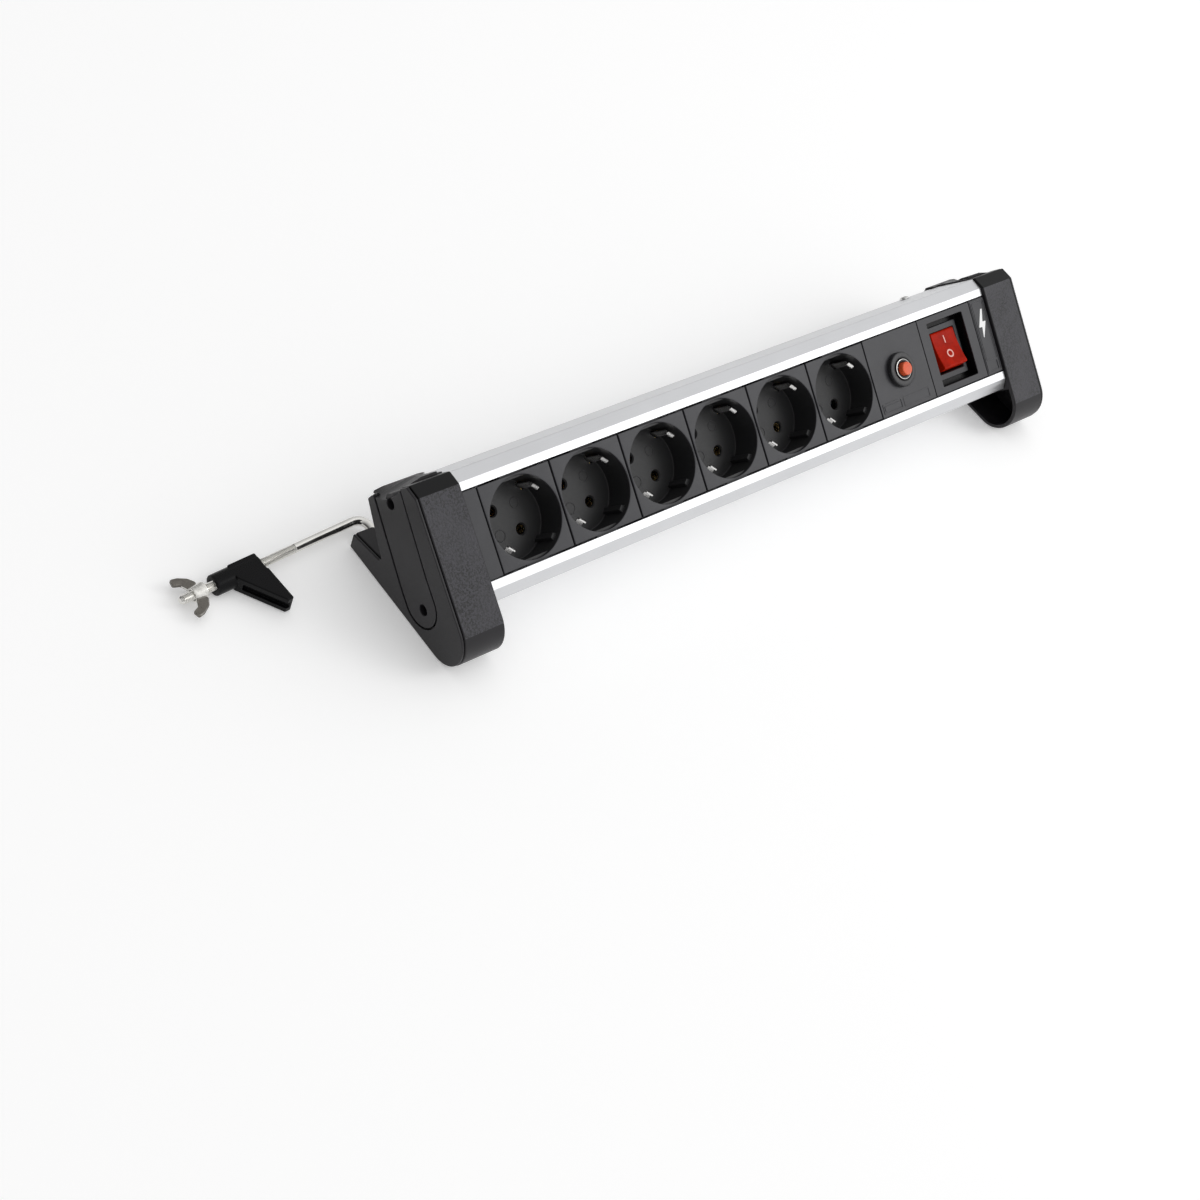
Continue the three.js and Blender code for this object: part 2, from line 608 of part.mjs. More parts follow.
for (const [side, x] of [
  ["left", 0],
  ["right", LEFT_BLANK + PANEL_LENGTH + RIGHT_BLANK + FOOT_WIDTH],
]) {
  const clamp = new THREE.Group();
  clamp.position.set(x, ROD_CORNER_Y, ROD_HEIGHT);
  const arm = new THREE.Group();
  arm.rotation.z = ROD_LEAN;
  clamp.add(mesh(`${side}_clamp_rod`, clampRod(), nickel));
  clamp.add(mesh(`${side}_rod_clip`, rodClip(), zinc));
  clamp.add(arm);
  arm.add(mesh(`${side}_clamp_jaw`, clampJaw(), blackMatt));
  arm.add(mesh(`${side}_wing_nut`, wingNut(), nickel));
  strip.add(clamp);
}

export default strip;
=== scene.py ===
"""Looks of the desk power strip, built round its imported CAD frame. Sizes below are in millimetres."""
import json
import math

import bmesh
import bpy
from mathutils import Matrix, Vector


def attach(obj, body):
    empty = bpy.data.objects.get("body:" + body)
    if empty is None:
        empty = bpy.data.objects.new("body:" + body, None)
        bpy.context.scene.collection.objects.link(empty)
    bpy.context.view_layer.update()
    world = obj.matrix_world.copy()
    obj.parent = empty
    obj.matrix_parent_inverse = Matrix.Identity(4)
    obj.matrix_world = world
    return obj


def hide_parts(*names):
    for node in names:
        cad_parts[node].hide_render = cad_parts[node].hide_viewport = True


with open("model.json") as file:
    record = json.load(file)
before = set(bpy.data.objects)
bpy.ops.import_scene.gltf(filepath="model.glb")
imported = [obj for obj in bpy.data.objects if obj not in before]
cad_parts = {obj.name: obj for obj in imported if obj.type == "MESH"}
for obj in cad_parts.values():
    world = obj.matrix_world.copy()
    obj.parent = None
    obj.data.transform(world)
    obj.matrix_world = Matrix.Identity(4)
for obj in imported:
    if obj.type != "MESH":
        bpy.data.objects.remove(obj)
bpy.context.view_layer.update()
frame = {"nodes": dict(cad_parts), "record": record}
NODES = frame["nodes"]
JOINTS = {joint["name"]: joint for joint in frame["record"]["behaviour"]["joints"]}
MM = 0.001

# ---- Camera: the photograph's viewing angle. The place is in metres. ----
CAMERA_PLACE = (-0.5159, -0.4343, 0.7740)
CAMERA_RIGHT = Vector((0.752, -0.592, 0.288))
CAMERA_UP = Vector((0.327, 0.717, 0.616))
LENS = 62.25
SENSOR = 36


def make_camera():
    data = bpy.data.cameras.new("camera")
    data.sensor_width = SENSOR
    data.lens = LENS
    data.clip_start = 0.01
    camera = bpy.data.objects.new("camera", data)
    back = CAMERA_RIGHT.cross(CAMERA_UP)
    turn = Matrix((CAMERA_RIGHT, CAMERA_UP, back)).transposed().to_quaternion().normalized()
    camera.matrix_world = Matrix.Translation(CAMERA_PLACE) @ turn.to_matrix().to_4x4()
    bpy.context.scene.collection.objects.link(camera)
    bpy.context.scene.camera = camera


make_camera()

# ---- The panel's own axes: X along the strip, Y into the body, Z up the panel ----
ALONG = Vector((1, 0, 0))
OUTWARD = Vector(JOINTS["breaker_button_slide"]["axis"]).normalized()
UP = OUTWARD.cross(ALONG)
MODULE = 45  # from one socket to the next
MID = MODULE / 2  # height of the row's middle
FACE = 44.5  # width of a module's visible face
PLATE = 2.2  # thickness of a plate
PROFILE_TOP = 56.4
LEFT_END, RIGHT_END = -9.3, 373.3  # inner faces of the feet
FOOT_WIDTH = 26
LEAN = OUTWARD.angle(Vector((0, -1, 0)))


def reach(node, direction):
    """The lowest and highest place of a CAD node along a direction, in millimetres."""
    places = [v.co.dot(direction) / MM for v in NODES[node].data.vertices]
    return min(places), max(places)


PANEL_ORIGIN = (
    (reach("socket_module_1", ALONG)[0] - (MODULE - FACE) / 2) * ALONG
    + reach("socket_module_1", OUTWARD)[1] * OUTWARD
    + (reach("aluminium_profile", UP)[1] - PROFILE_TOP) * UP
) * MM
PANEL = (
    Matrix.Translation(PANEL_ORIGIN)
    @ Matrix((ALONG, -OUTWARD, UP)).transposed().to_4x4()
    @ Matrix.Scale(MM, 4)
)


# ---- Outlines ----
def arc(centre, radius, start, end, steps=12):
    """Points on an arc, angles in degrees."""
    angles = [math.radians(start + (end - start) * i / steps) for i in range(steps + 1)]
    return [(centre[0] + radius * math.cos(a), centre[1] + radius * math.sin(a)) for a in angles]


def rounded(corners, radius=0.6, steps=4):
    """A closed outline whose corners are rounded. A corner may carry its own radius as a third number."""
    outline = []
    count = len(corners)
    for i, corner in enumerate(corners):
        here = Vector(corner[:2])
        size = corner[2] if len(corner) > 2 else radius
        before = Vector(corners[i - 1][:2]) - here
        after = Vector(corners[(i + 1) % count][:2]) - here
        half = before.angle(after) / 2
        if size == 0 or half > math.radians(87):
            outline.append(tuple(here))
            continue
        back = min(size / math.tan(half), before.length * 0.49, after.length * 0.49)
        size = back * math.tan(half)
        middle = here + (before.normalized() + after.normalized()).normalized() * size / math.sin(half)
        first = here + before.normalized() * back - middle
        last = here + after.normalized() * back - middle
        for k in range(steps + 1):
            share = k / steps
            turn = first.angle(last)
            spun = first * math.sin((1 - share) * turn) + last * math.sin(share * turn)
            outline.append(tuple(middle + spun / math.sin(turn)))
    return outline


def inset(outline, distance):
    """The outline moved inwards by a small distance."""
    count = len(outline)
    area = sum(a[0] * b[1] - b[0] * a[1] for a, b in zip([outline[-1], *outline], outline))
    side = 1 if area > 0 else -1
    shifted = []
    for i in range(count):
        here = Vector(outline[i])
        before = (here - Vector(outline[i - 1])).normalized()
        after = (Vector(outline[(i + 1) % count]) - here).normalized()
        first, last = [Vector((-d.y, d.x)) * side for d in (before, after)]
        shifted.append(tuple(here + (first + last) * distance / max(0.3, 1 + first.dot(last))))
    return shifted


def box_corners(xs, zs):
    """The four corners between two pairs of limits."""
    return [(xs[0], zs[0]), (xs[1], zs[0]), (xs[1], zs[1]), (xs[0], zs[1])]


def oblong(x, z, width, height, radius):
    """A rectangle with round corners about its middle."""
    half_w, half_h = width / 2, height / 2
    return rounded(box_corners((x - half_w, x + half_w), (z - half_h, z + half_h)), radius, 5)


# ---- Solids, as bmeshes. An outline's two numbers are the other two axes, in order. ----
AXES = {
    "X": lambda a, b, c: (c, a, b),
    "Y": lambda a, b, c: (a, c, b),
    "Z": lambda a, b, c: (a, b, c),
}


def skin(rings):
    """A closed solid over rings of points, capped at both ends."""
    bm = bmesh.new()
    loops = [[bm.verts.new(p) for p in ring] for ring in rings]
    for low, high in zip(loops, loops[1:]):
        count = len(low)
        for i in range(count):
            j = (i + 1) % count
            bm.faces.new((low[i], low[j], high[j], high[i]))
    bm.faces.new(loops[0])
    bm.faces.new(loops[-1])
    bmesh.ops.recalc_face_normals(bm, faces=bm.faces)
    return bm


def rim_rings(outline, place, way, axis, size, steps=3):
    """Rings that round one rim, from the cap to the full outline."""
    if not size:
        return [[AXES[axis](a, b, place) for a, b in outline]]
    rings = []
    for k in range(steps + 1):
        turn = math.pi / 2 * k / steps
        depth = way * size * (1 - math.cos(turn))
        shape = inset(outline, size * (1 - math.sin(turn)))
        rings.append([AXES[axis](a, b, place + depth) for a, b in shape])
    return rings


def prism(outline, low, high, axis, rim=0.3, high_rim=None):
    """An outline drawn out along an axis, with rounded rims."""
    first = rim_rings(outline, low, 1, axis, rim)
    last = rim_rings(outline, high, -1, axis, rim if high_rim is None else high_rim)
    return skin(first + last[::-1])


def lathe(profile, axis, centre=(0, 0), segments=64):
    """Turned about an axis. The profile's points are (radius, place along the axis).

    A radius of 0 closes an end. A profile with no such end is joined into a tube.
    """
    bm = bmesh.new()
    rings = []
    for radius, place in profile:
        count = segments if radius else 1
        rings.append([
            bm.verts.new(AXES[axis](
                centre[0] + radius * math.cos(2 * math.pi * i / segments),
                centre[1] + radius * math.sin(2 * math.pi * i / segments),
                place,
            ))
            for i in range(count)
        ])
    if profile[0][0] != 0:
        rings.append(rings[0])
    for low, high in zip(rings, rings[1:]):
        for i in range(segments):
            j = (i + 1) % segments
            if len(low) == 1:
                bm.faces.new((low[0], high[j], high[i]))
            elif len(high) == 1:
                bm.faces.new((low[i], low[j], high[0]))
            else:
                bm.faces.new((low[i], low[j], high[j], high[i]))
    bmesh.ops.recalc_face_normals(bm, faces=bm.faces)
    return bm


def cylinder(radius, low, high, axis, centre=(0, 0), segments=64):
    return lathe([(0, low), (radius, low), (radius, high), (0, high)], axis, centre, segments)


def moved(bm, matrix):
    bmesh.ops.transform(bm, matrix=matrix, verts=bm.verts)
    return bm


def scratch(bm):
    mesh = bpy.data.meshes.new("scratch")
    bm.to_mesh(mesh)
    bm.free()
    made = bpy.data.objects.new("scratch", mesh)
    bpy.context.scene.collection.objects.link(made)
    return made


def combined(base, tools, operation):
    """A boolean of solids. It frees them and gives a new bmesh."""
    body = scratch(base)
    helpers = [scratch(tool) for tool in tools]
    for helper in helpers:
        modifier = body.modifiers.new("boolean", "BOOLEAN")
        modifier.operation = operation
        modifier.solver = "EXACT"
        modifier.object = helper
    result = bmesh.new()
    result.from_object(body, bpy.context.evaluated_depsgraph_get())
    for used in [body, *helpers]:
        mesh = used.data
        bpy.data.objects.remove(used)
        bpy.data.meshes.remove(mesh)
    bmesh.ops.remove_doubles(result, verts=result.verts, dist=1e-4)
    return result


def cut(base, *tools):
    return combined(base, tools, "DIFFERENCE")


def join(base, *tools):
    return combined(base, tools, "UNION")


def meet(base, *tools):
    return combined(base, tools, "INTERSECT")


def block(xs, ys, zs, rim=0.2):
    """A box with rounded edges, drawn out along Y."""
    return prism(rounded(box_corners(xs, zs), rim, 2), *ys, "Y", rim)


def choose_finish(bm, chooser):
    """Numbers each face's material by the middle of the face."""
    for face in bm.faces:
        face.material_index = int(chooser(face.calc_center_median()))


SHARP = math.radians(32)


def piece(name, bm, finishes, body="strip", place=PANEL, stands_for=()):
    """Puts a solid in the scene as a named piece that rides on a body."""
    moved(bm, place)
    if place.determinant() < 0:
        bmesh.ops.reverse_faces(bm, faces=bm.faces)
    mesh = bpy.data.meshes.new(name)
    for face in bm.faces:
        face.smooth = True
    bm.to_mesh(mesh)
    bm.free()
    mesh.set_sharp_from_angle(angle=SHARP)
    for material in finishes if isinstance(finishes, list) else [finishes]:
        mesh.materials.append(material)
    made = bpy.data.objects.new(name, mesh)
    bpy.context.scene.collection.objects.link(made)
    weighted = made.modifiers.new("weighted_normals", "WEIGHTED_NORMAL")
    weighted.keep_sharp = True
    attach(made, body)
    if stands_for:
        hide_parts(*([stands_for] if isinstance(stands_for, str) else stands_for))


# ---- Materials ----
def add(tree, kind, links=(), **settings):
    """A shader node. A link joins an output to a named input of it."""
    node = tree.nodes.new(kind)
    for key, value in settings.items():
        setattr(node, key, value)
    for name, source in dict(links).items():
        if isinstance(source, bpy.types.NodeSocket):
            tree.links.new(source, node.inputs[name])
        else:
            node.inputs[name].default_value = source
    return node


def noise(tree, scale, stretch=(1, 1, 1), detail=3, roughness=0.6):
    """Noise in the piece's own space. Scale counts features in a metre."""
    where = add(tree, "ShaderNodeTexCoord").outputs["Object"]
    spread = add(tree, "ShaderNodeMapping", {"Vector": where, "Scale": stretch}).outputs["Vector"]
    settings = {"Vector": spread, "Scale": scale, "Detail": detail, "Roughness": roughness}
    return add(tree, "ShaderNodeTexNoise", settings).outputs["Fac"]


def remap(tree, value, low, high, to_low, to_high):
    links = {"Value": value, "From Min": low, "From Max": high, "To Min": to_low, "To Max": to_high}
    return add(tree, "ShaderNodeMapRange", links).outputs["Result"]


def blend(tree, share, first, second):
    node = add(tree, "ShaderNodeMix", data_type="RGBA")
    for socket, value in ((node.inputs[0], share), (node.inputs[6], first), (node.inputs[7], second)):
        if isinstance(value, bpy.types.NodeSocket):
            tree.links.new(value, socket)
        else:
            socket.default_value = value
    return node.outputs[2]


def multiply(tree, first, second):
    return add(tree, "ShaderNodeMath", {0: first, 1: second}, operation="MULTIPLY").outputs[0]


def edges(tree, width):
    """1 on the edges of the piece, 0 on its flats."""
    rounded_off = add(tree, "ShaderNodeBevel", {"Radius": width * MM}, samples=4).outputs["Normal"]
    true_normal = add(tree, "ShaderNodeNewGeometry").outputs["Normal"]
    links = {0: rounded_off, 1: true_normal}
    likeness = add(tree, "ShaderNodeVectorMath", links, operation="DOT_PRODUCT").outputs["Value"]
    return remap(tree, likeness, 0.99, 0.88, 0.0, 1.0)


def shade(colour, factor):
    return (*[min(1.0, c * factor) for c in colour], 1)


def finish(
    name, colour, roughness, grain, depth, stretch=(1, 1, 1), variation=0.12, patches=60, worn=None,
    wear_width=0.35, uneven=0.08, speckle=0.35, **sockets,
):
    """A material: colour that varies in patches, grain in roughness and bump, and paler worn edges."""
    material = bpy.data.materials.new(name)
    material.use_nodes = True
    tree = material.node_tree
    surface = tree.nodes["Principled BSDF"]
    for socket, value in sockets.items():
        surface.inputs[socket.replace("_", " ")].default_value = value
    fine = noise(tree, grain, stretch)
    broad = noise(tree, patches, detail=2)
    darker, paler = shade(colour, 1 - variation), shade(colour, 1 + variation)
    base = blend(tree, remap(tree, broad, 0.3, 0.7, 0, 1), darker, paler)
    grained = remap(tree, fine, 0.42, 0.58, 0.0, 1.0)
    base = blend(tree, multiply(tree, grained, speckle), base, shade(colour, 1 + 2 * variation))
    if worn:
        patchy = remap(tree, noise(tree, 300, detail=2), 0.35, 0.65, 0.25, 1.0)
        base = blend(tree, multiply(tree, edges(tree, wear_width), patchy), base, shade(worn, 1))
    tree.links.new(base, surface.inputs["Base Color"])
    rough = remap(tree, fine, 0.3, 0.7, roughness - uneven, roughness + uneven)
    tree.links.new(rough, surface.inputs["Roughness"])
    links = {"Height": fine, "Distance": depth * MM, "Strength": 1.0}
    tree.links.new(add(tree, "ShaderNodeBump", links).outputs["Normal"], surface.inputs["Normal"])
    return material


aluminium = finish(
    "satin_aluminium", (0.64, 0.645, 0.66), 0.38, 1500, 0.02, stretch=(0.006, 1, 1),
    variation=0.035, patches=25, worn=(0.86, 0.86, 0.87), Metallic=0.85,
)
panel_black = finish(
    "panel_plastic", (0.032, 0.032, 0.036), 0.42, 1300, 0.03, variation=0.14,
    worn=(0.07, 0.07, 0.075), speckle=0.6, Specular_IOR_Level=0.35,
)
# Painted shade: a darker copy of the panel plastic for the socket recesses, standing in for the shade inside
# them.
recess_painted_shade = finish(
    "recess_plastic_painted_shade", (0.017, 0.017, 0.018), 0.5, 1800, 0.012,
    worn=(0.05, 0.05, 0.053), Specular_IOR_Level=0.45,
)
component_black = finish(
    "component_plastic", (0.022, 0.022, 0.024), 0.36, 2200, 0.012,
    worn=(0.07, 0.07, 0.075), Specular_IOR_Level=0.35,
)
foot_textured = finish(
    "foot_grained", (0.019, 0.0185, 0.0215), 0.5, 820, 0.5, variation=0.9,
    worn=(0.08, 0.08, 0.085), uneven=0.2, speckle=1.0, Specular_IOR_Level=0.4,
)
foot_smooth = finish(
    "foot_satin", (0.0135, 0.0125, 0.0145), 0.42, 1800, 0.015,
    worn=(0.07, 0.07, 0.075), wear_width=0.5, Specular_IOR_Level=0.3,
)
# Painted shade: a much darker copy of the foot plastic for the foot's top (brow) faces, standing in for the
# shade on them.
foot_top_painted_shade = finish(
    "foot_top_painted_shade", (0.004, 0.004, 0.0045), 0.42, 1800, 0.015,
    worn=(0.05, 0.05, 0.053), wear_width=0.5, Specular_IOR_Level=0.2,
)
# The clamp jaws' own black plastic, also used as painted shade on the switch pocket's walls and floor.
jaw_black_and_painted_shade = finish(
    "jaw_plastic_and_painted_shade", (0.003, 0.003, 0.0035), 0.3, 1500, 0.02,
    worn=(0.04, 0.04, 0.043), wear_width=0.5, Specular_IOR_Level=0.12,
)
nickel = finish(
    "contact_nickel", (0.95, 0.94, 0.92), 0.3, 1800, 0.008, stretch=(1, 6, 6), variation=0.05, Metallic=1.0,
)
brass = finish("contact_brass", (0.72, 0.52, 0.22), 0.3, 1800, 0.01, variation=0.08, Metallic=1.0)
card = finish("insulator_card", (0.72, 0.7, 0.63), 0.8, 900, 0.05, variation=0.06)
orange = finish(
    "orange_button", (0.70, 0.10, 0.03), 0.35, 1500, 0.01, variation=0.06,
    worn=(0.85, 0.25, 0.12), speckle=0.15,
    Specular_IOR_Level=0.35, Subsurface_Weight=0.1, Subsurface_Scale=0.002,
)
red_lens = finish(
    "red_rocker", (0.33, 0.009, 0.0015), 0.3, 900, 0.008, variation=0.22, patches=160,
    worn=(0.5, 0.04, 0.012), uneven=0.05, speckle=0.1,
    Specular_IOR_Level=0.05, Emission_Color=(0.6, 0.02, 0, 1), Emission_Strength=0.06,
)
mark_print = finish("mark_print", (0.80, 0.42, 0.37), 0.45, 2500, 0.01, variation=0.05)
lamp_glass = finish("lamp_glass", (0.9, 0.85, 0.8), 0.08, 800, 0.004, Transmission_Weight=0.8)
zinc = finish(
    "zinc_fastener", (0.66, 0.66, 0.65), 0.3, 1500, 0.02, variation=0.08,
    worn=(0.85, 0.85, 0.84), Metallic=1.0,
)
plated_rod = finish(
    "plated_rod", (0.74, 0.73, 0.70), 0.16, 1400, 0.008, variation=0.05, patches=90, Metallic=1.0,
)
plated_nut = finish(
    "plated_nut", (0.66, 0.65, 0.62), 0.24, 900, 0.05, variation=0.2, patches=250,
    worn=(0.8, 0.79, 0.75), Metallic=1.0,
)
# Painted shade: a much darker copy of the nut's plated metal for its wings, standing in for the darker
# reflections on them.
nut_wings_painted_shade = finish(
    "nut_wings_painted_shade", (0.15, 0.14, 0.125), 0.35, 900, 0.05, variation=0.2, patches=250,
    worn=(0.8, 0.79, 0.75), wear_width=0.6, Metallic=0.9,
)
print_white = finish("print_white", (0.88, 0.88, 0.88), 0.5, 2500, 0.01, variation=0.03)
brown = finish("lead_brown", (0.13, 0.055, 0.025), 0.45, 1500, 0.02)
blue = finish("lead_blue", (0.03, 0.11, 0.42), 0.45, 1500, 0.02)
green = finish("lead_green", (0.12, 0.38, 0.05), 0.45, 1500, 0.02)


# ---- Carried-over CAD nodes ----
def dress(node, material, width=0.0):
    """A carried-over CAD node: merged, with a material of its own and, given a width, rounded edges."""
    made = NODES[node]
    made.data.materials.clear()
    made.data.materials.append(material)
    weld = made.modifiers.new("weld", "WELD")
    weld.merge_threshold = 1e-6
    flat = made.modifiers.new("flat_faces", "DECIMATE")
    flat.decimate_type = "DISSOLVE"
    flat.angle_limit = math.radians(1)
    if width:
        bevel = made.modifiers.new("edges", "BEVEL")
        bevel.width = width * MM
        bevel.segments = 2
        bevel.limit_method = "ANGLE"
        bevel.angle_limit = math.radians(28)
        bevel.harden_normals = True


# ---- Aluminium profile ----
def scored_section():
    """The channel's section in depth and height, with the scored line and its twin below."""
    return rounded([
        (0, 45.3, 0.15), (0, 49.5, 0.9), (3.8, 55.6, 0.7),
        (6.1, 55.66, 0), (6.35, 55.36, 0), (6.6, 55.67, 0),
        (35.2, 56.4, 1.2), (38.6, 53.2, 1.2), (38.6, -7.9, 1.2), (35.2, -11.3, 1.2),
        (6.6, -10.68, 0), (6.35, -10.4, 0), (6.1, -10.67, 0),
        (3.8, -10.6, 0.7), (0, -4.7, 0.9), (0, -0.3, 0.15),
        (1.6, -0.3, 0.15), (1.6, -4.2), (4.7, -9), (34.6, -9.7), (37, -7.2),
        (37, 52.5), (34.6, 54.8), (4.7, 54), (1.6, 49), (1.6, 45.3, 0.15),
    ], 0.5, 3)


UPPER_SCREW = (21.6, 49.5)
LOWER_SCREW = (23.5, -4)
SCREW_HOLE_R = 1.75
GLAND_X, GLAND_Z, GLAND_R = 337, 38, 6.2
EARTH_X, EARTH_Y = 342, 30


def make_profile():
    ends = (LEFT_END + 0.3, RIGHT_END - 0.3)
    channel = prism(scored_section(), *ends, "X", 0)
    holes = [
        cylinder(GLAND_R + 0.3, 30, 44, "Y", (GLAND_X, GLAND_Z), 48),
        cylinder(1.8, 50, 60, "Z", (EARTH_X, EARTH_Y), 24),
    ]
    ribs = []
    for y, z in (UPPER_SCREW, LOWER_SCREW):
        root = 54.7 if z > 0 else -9.6
        boss = arc((y, z), 3.5, 0, 345, 23)
        stem = [(y - 1.2, z), (y + 1.2, z), (y + 1.2, root), (y - 1.2, root)]
        bore = cylinder(SCREW_HOLE_R, ends[0] - 1, ends[1] + 1, "X", (y, z), 20)
        ribs += [cut(join(prism(boss, *ends, "X", 0), prism(stem, *ends, "X", 0)), bore)]
    piece("profile_shell", join(cut(channel, *holes), *ribs), aluminium, stands_for="aluminium_profile")


# ---- Sockets ----
RECESS_R = 20.95
RECESS_DEPTH = 17.5
CUP_R = 22.1  # outside of the recess's wall, behind the panel
PIN_OFFSET = 6.72  # of a pin hole from the middle, in X and in Z
CLIP_SLOT = 19.4  # of a slot for the earth clip from the middle
RING_POINTS = 96
HOOK_WIDTH = 14


def round_ring(cx, radius, y):
    turns = [2 * math.pi * i / RING_POINTS for i in range(RING_POINTS)]
    return [(cx + radius * math.cos(t), y, MID + radius * math.sin(t)) for t in turns]


def square_ring(cx, smaller, y):
    """A module's square edge, with as many points as a round ring."""
    ring = []
    for i in range(RING_POINTS):
        turn = 2 * math.pi * i / RING_POINTS
        c, s = math.cos(turn), math.sin(turn)
        size = 1 / max(abs(c), abs(s))
        ring.append((cx + (FACE / 2 - smaller) * c * size, y, MID + (FACE / 2 - 0.1 - smaller) * s * size))
    return ring


def hooks(x, width):
    """The snap hooks behind the profile's lips."""
    half = width / 2
    return [
        block((x - half, x + half), (2.0, 3.4), (42, 47.3), 0.15),
        block((x - half, x + half), (2.0, 3.4), (-2.3, 3), 0.15),
    ]


def on_diagonal(bm, cx, turn=45):
    """From a socket's diagonal frame to the panel: X runs to the upper right."""
    return moved(bm, Matrix.Translation((cx, 0, MID)) @ Matrix.Rotation(math.radians(-turn), 4, "Y"))


def ring_mark(x, z, radius):
    """A thin raised ring on the recess floor."""
    floor = RECESS_DEPTH
    rise = [(0.28, -0.5), (0.28, 0.12), (0.14, 0.22)]
    profile = [(radius - out, floor - up) for out, up in rise]
    profile += [(radius + out, floor - up) for out, up in rise[::-1]]
    return lathe(profile, "Y", (x, z), 40)


def make_socket(index):
    cx = MODULE * (index - 0.5)
    cup = [(CUP_R - 0.5, 19.5), (CUP_R, 19.0), (CUP_R, PLATE)]
    rim = [(0.22, PLATE), (0.22, 0.4), (0.34, 0.13), (0.6, 0)]
    recess = [
        (RECESS_R + 0.55, 0), (RECESS_R + 0.16, 0.16), (RECESS_R, 0.55),
        (RECESS_R - 0.25, RECESS_DEPTH - 0.8), (RECESS_R - 0.5, RECESS_DEPTH - 0.25),
        (RECESS_R - 1.1, RECESS_DEPTH),
    ]
    rings = [round_ring(cx, radius, y) for radius, y in cup]
    rings += [square_ring(cx, smaller, y) for smaller, y in rim]
    rings += [round_ring(cx, radius, y) for radius, y in recess]
    body = skin(rings)
    holes = []
    for side in (-1, 1):
        pin = (cx + side * PIN_OFFSET, MID - side * PIN_OFFSET)
        holes.append(lathe([(0, 16), (3.3, 16), (3.3, 17.6), (2.7, 18.2), (2.7, 26), (0, 26)], "Y", pin, 40))
        slot_shape = oblong(side * CLIP_SLOT, 0, 2.8, 5.4, 0.5)
        holes.append(on_diagonal(prism(slot_shape, 2.6, 25, "Y", 0.1), cx))
    extras = []
    for side in (-1, 1):
        inner, outer = side * 18.7, side * 21.3
        rib = rounded([(inner, -1.5), (outer, -2.3), (outer, 2.3), (inner, 1.5)], 0.6, 4)
        extras.append(on_diagonal(prism(rib, 3.2, RECESS_DEPTH + 1, "Y", 0.5, 0.2), cx, -45))
    extras += [ring_mark(cx + 7.5, MID + 6.7, 2.6), ring_mark(cx - 6.3, MID - 6.2, 2.9)]
    shell = join(cut(body, *holes), *extras, *hooks(cx, HOOK_WIDTH))
    # Faces inside the recess take the darker painted-shade plastic.
    choose_finish(shell, lambda m: m.y > 0.6 and math.hypot(m.x - cx, m.z - MID) < RECESS_R)
    piece(f"socket_{index}", shell, [panel_black, recess_painted_shade], stands_for=f"socket_module_{index}")


def strip_along(path, thickness, width):
    """A bent flat strip: its centreline in X and Y, its width along Z."""
    left, right = [], []
    for i, here in enumerate(path):
        ahead = (Vector(path[min(i + 1, len(path) - 1)]) - Vector(path[max(i - 1, 0)])).normalized()
        side = Vector((-ahead.y, ahead.x)) * thickness / 2
        left.append(tuple(Vector(here) + side))
        right.append(tuple(Vector(here) - side))
    return prism(left + right[::-1], -width / 2, width / 2, "Z", 0.12)


def make_earth_clip(index):
    """One bent strip: a yoke behind the floor and two arms that end in sprung hooks."""
    cx = MODULE * (index - 0.5)
    arms = [(19.05, 20.25, 1.2), (19.05, 5.7, 1.0), (16.25, 4.0, 0.8), (17.6, 2.05)]
    corners = [(-x, y, *r) for x, y, *r in arms[::-1]] + arms
    path = [corners[0][:2]]
    for before, here, after in zip(corners, corners[1:], corners[2:]):
        bend = rounded([before[:2] + (0,), here, after[:2] + (0,)], 0.8, 6)
        path += bend[1:-1]
    path.append(corners[-1][:2])
    clip = on_diagonal(strip_along(path, 0.7, 4.2), cx)
    piece(f"earth_contact_{index}", clip, nickel, stands_for=f"earth_clip_{index}")


# ---- Plates, breaker and switch ----
BREAKER_X = MODULE * 6.5
NECK_HOLE_R = 6.1
BUTTON_BORE = 4.05
SWITCH_X = MODULE * 7.5


def plate(x0, x1):
    middle = ((x0 + x1) / 2, MID)
    return prism(oblong(*middle, x1 - x0, FACE - 0.2, 0.35), 0, PLATE, "Y", 0.25)


def frame_line(x0, x1, z0, z1, line=0.5, height=0.3):
    """A thin raised rectangle on a plate's face."""
    outer = rounded(box_corners((x0, x1), (z0, z1)), 0.3, 3)
    inner = rounded(box_corners((x0 + line, x1 - line), (z0 + line, z1 - line)), 0.2, 3)
    return cut(prism(outer, -height, 0.3, "Y", 0.08), prism(inner, -1, 0.6, "Y", 0))


def legs(x0, x1):
    """The two legs behind an end plate."""
    return [block((x0 + 1, x1 - 1), (2, 9), zs, 0.2) for zs in ((5, 7), (38, 40))]


def make_end_plates():
    x0, x1 = LEFT_END + 0.3, -0.3
    left = join(plate(x0, x1), *legs(x0, x1), *hooks((x0 + x1) / 2, x1 - x0 - 3))
    piece("left_blank", left, panel_black, stands_for="left_blank_plate")
    x0, x1 = MODULE * 8 + 0.25, RIGHT_END - 0.3
    raised = [
        frame_line(x0 + 0.7, x1 - 0.7, 1.2, 43.8),
        frame_line(x0 + 1.9, x1 - 1.9, 8.6, 42.7, 0.35, 0.2),
    ]
    window = rounded(box_corners((x0 + 3.2, x1 - 2.6), (2.2, 7.4)), 0.3, 3)
    face = cut(plate(x0, x1), prism(window, -1, 0.35, "Y", 0))
    right = join(face, *legs(x0, x1), *raised, *hooks((x0 + x1) / 2, x1 - x0 - 3))
    piece("right_label", right, panel_black, stands_for="right_label_plate")
    middle = (x0 + x1) / 2
    height = 29.5
    bolt = [(1.5, 8.8), (-3.3, -1.3), (-0.7, -1.3), (-1.9, -8.8), (3.3, 1.5), (0.6, 1.5), (2.9, 8.8)]
    outline = rounded([(middle + a, height + b) for a, b in bolt], 0.25, 2)
    mark = prism(outline, -0.12, 0.2, "Y", 0.04)
    piece("flash_symbol", mark, print_white)


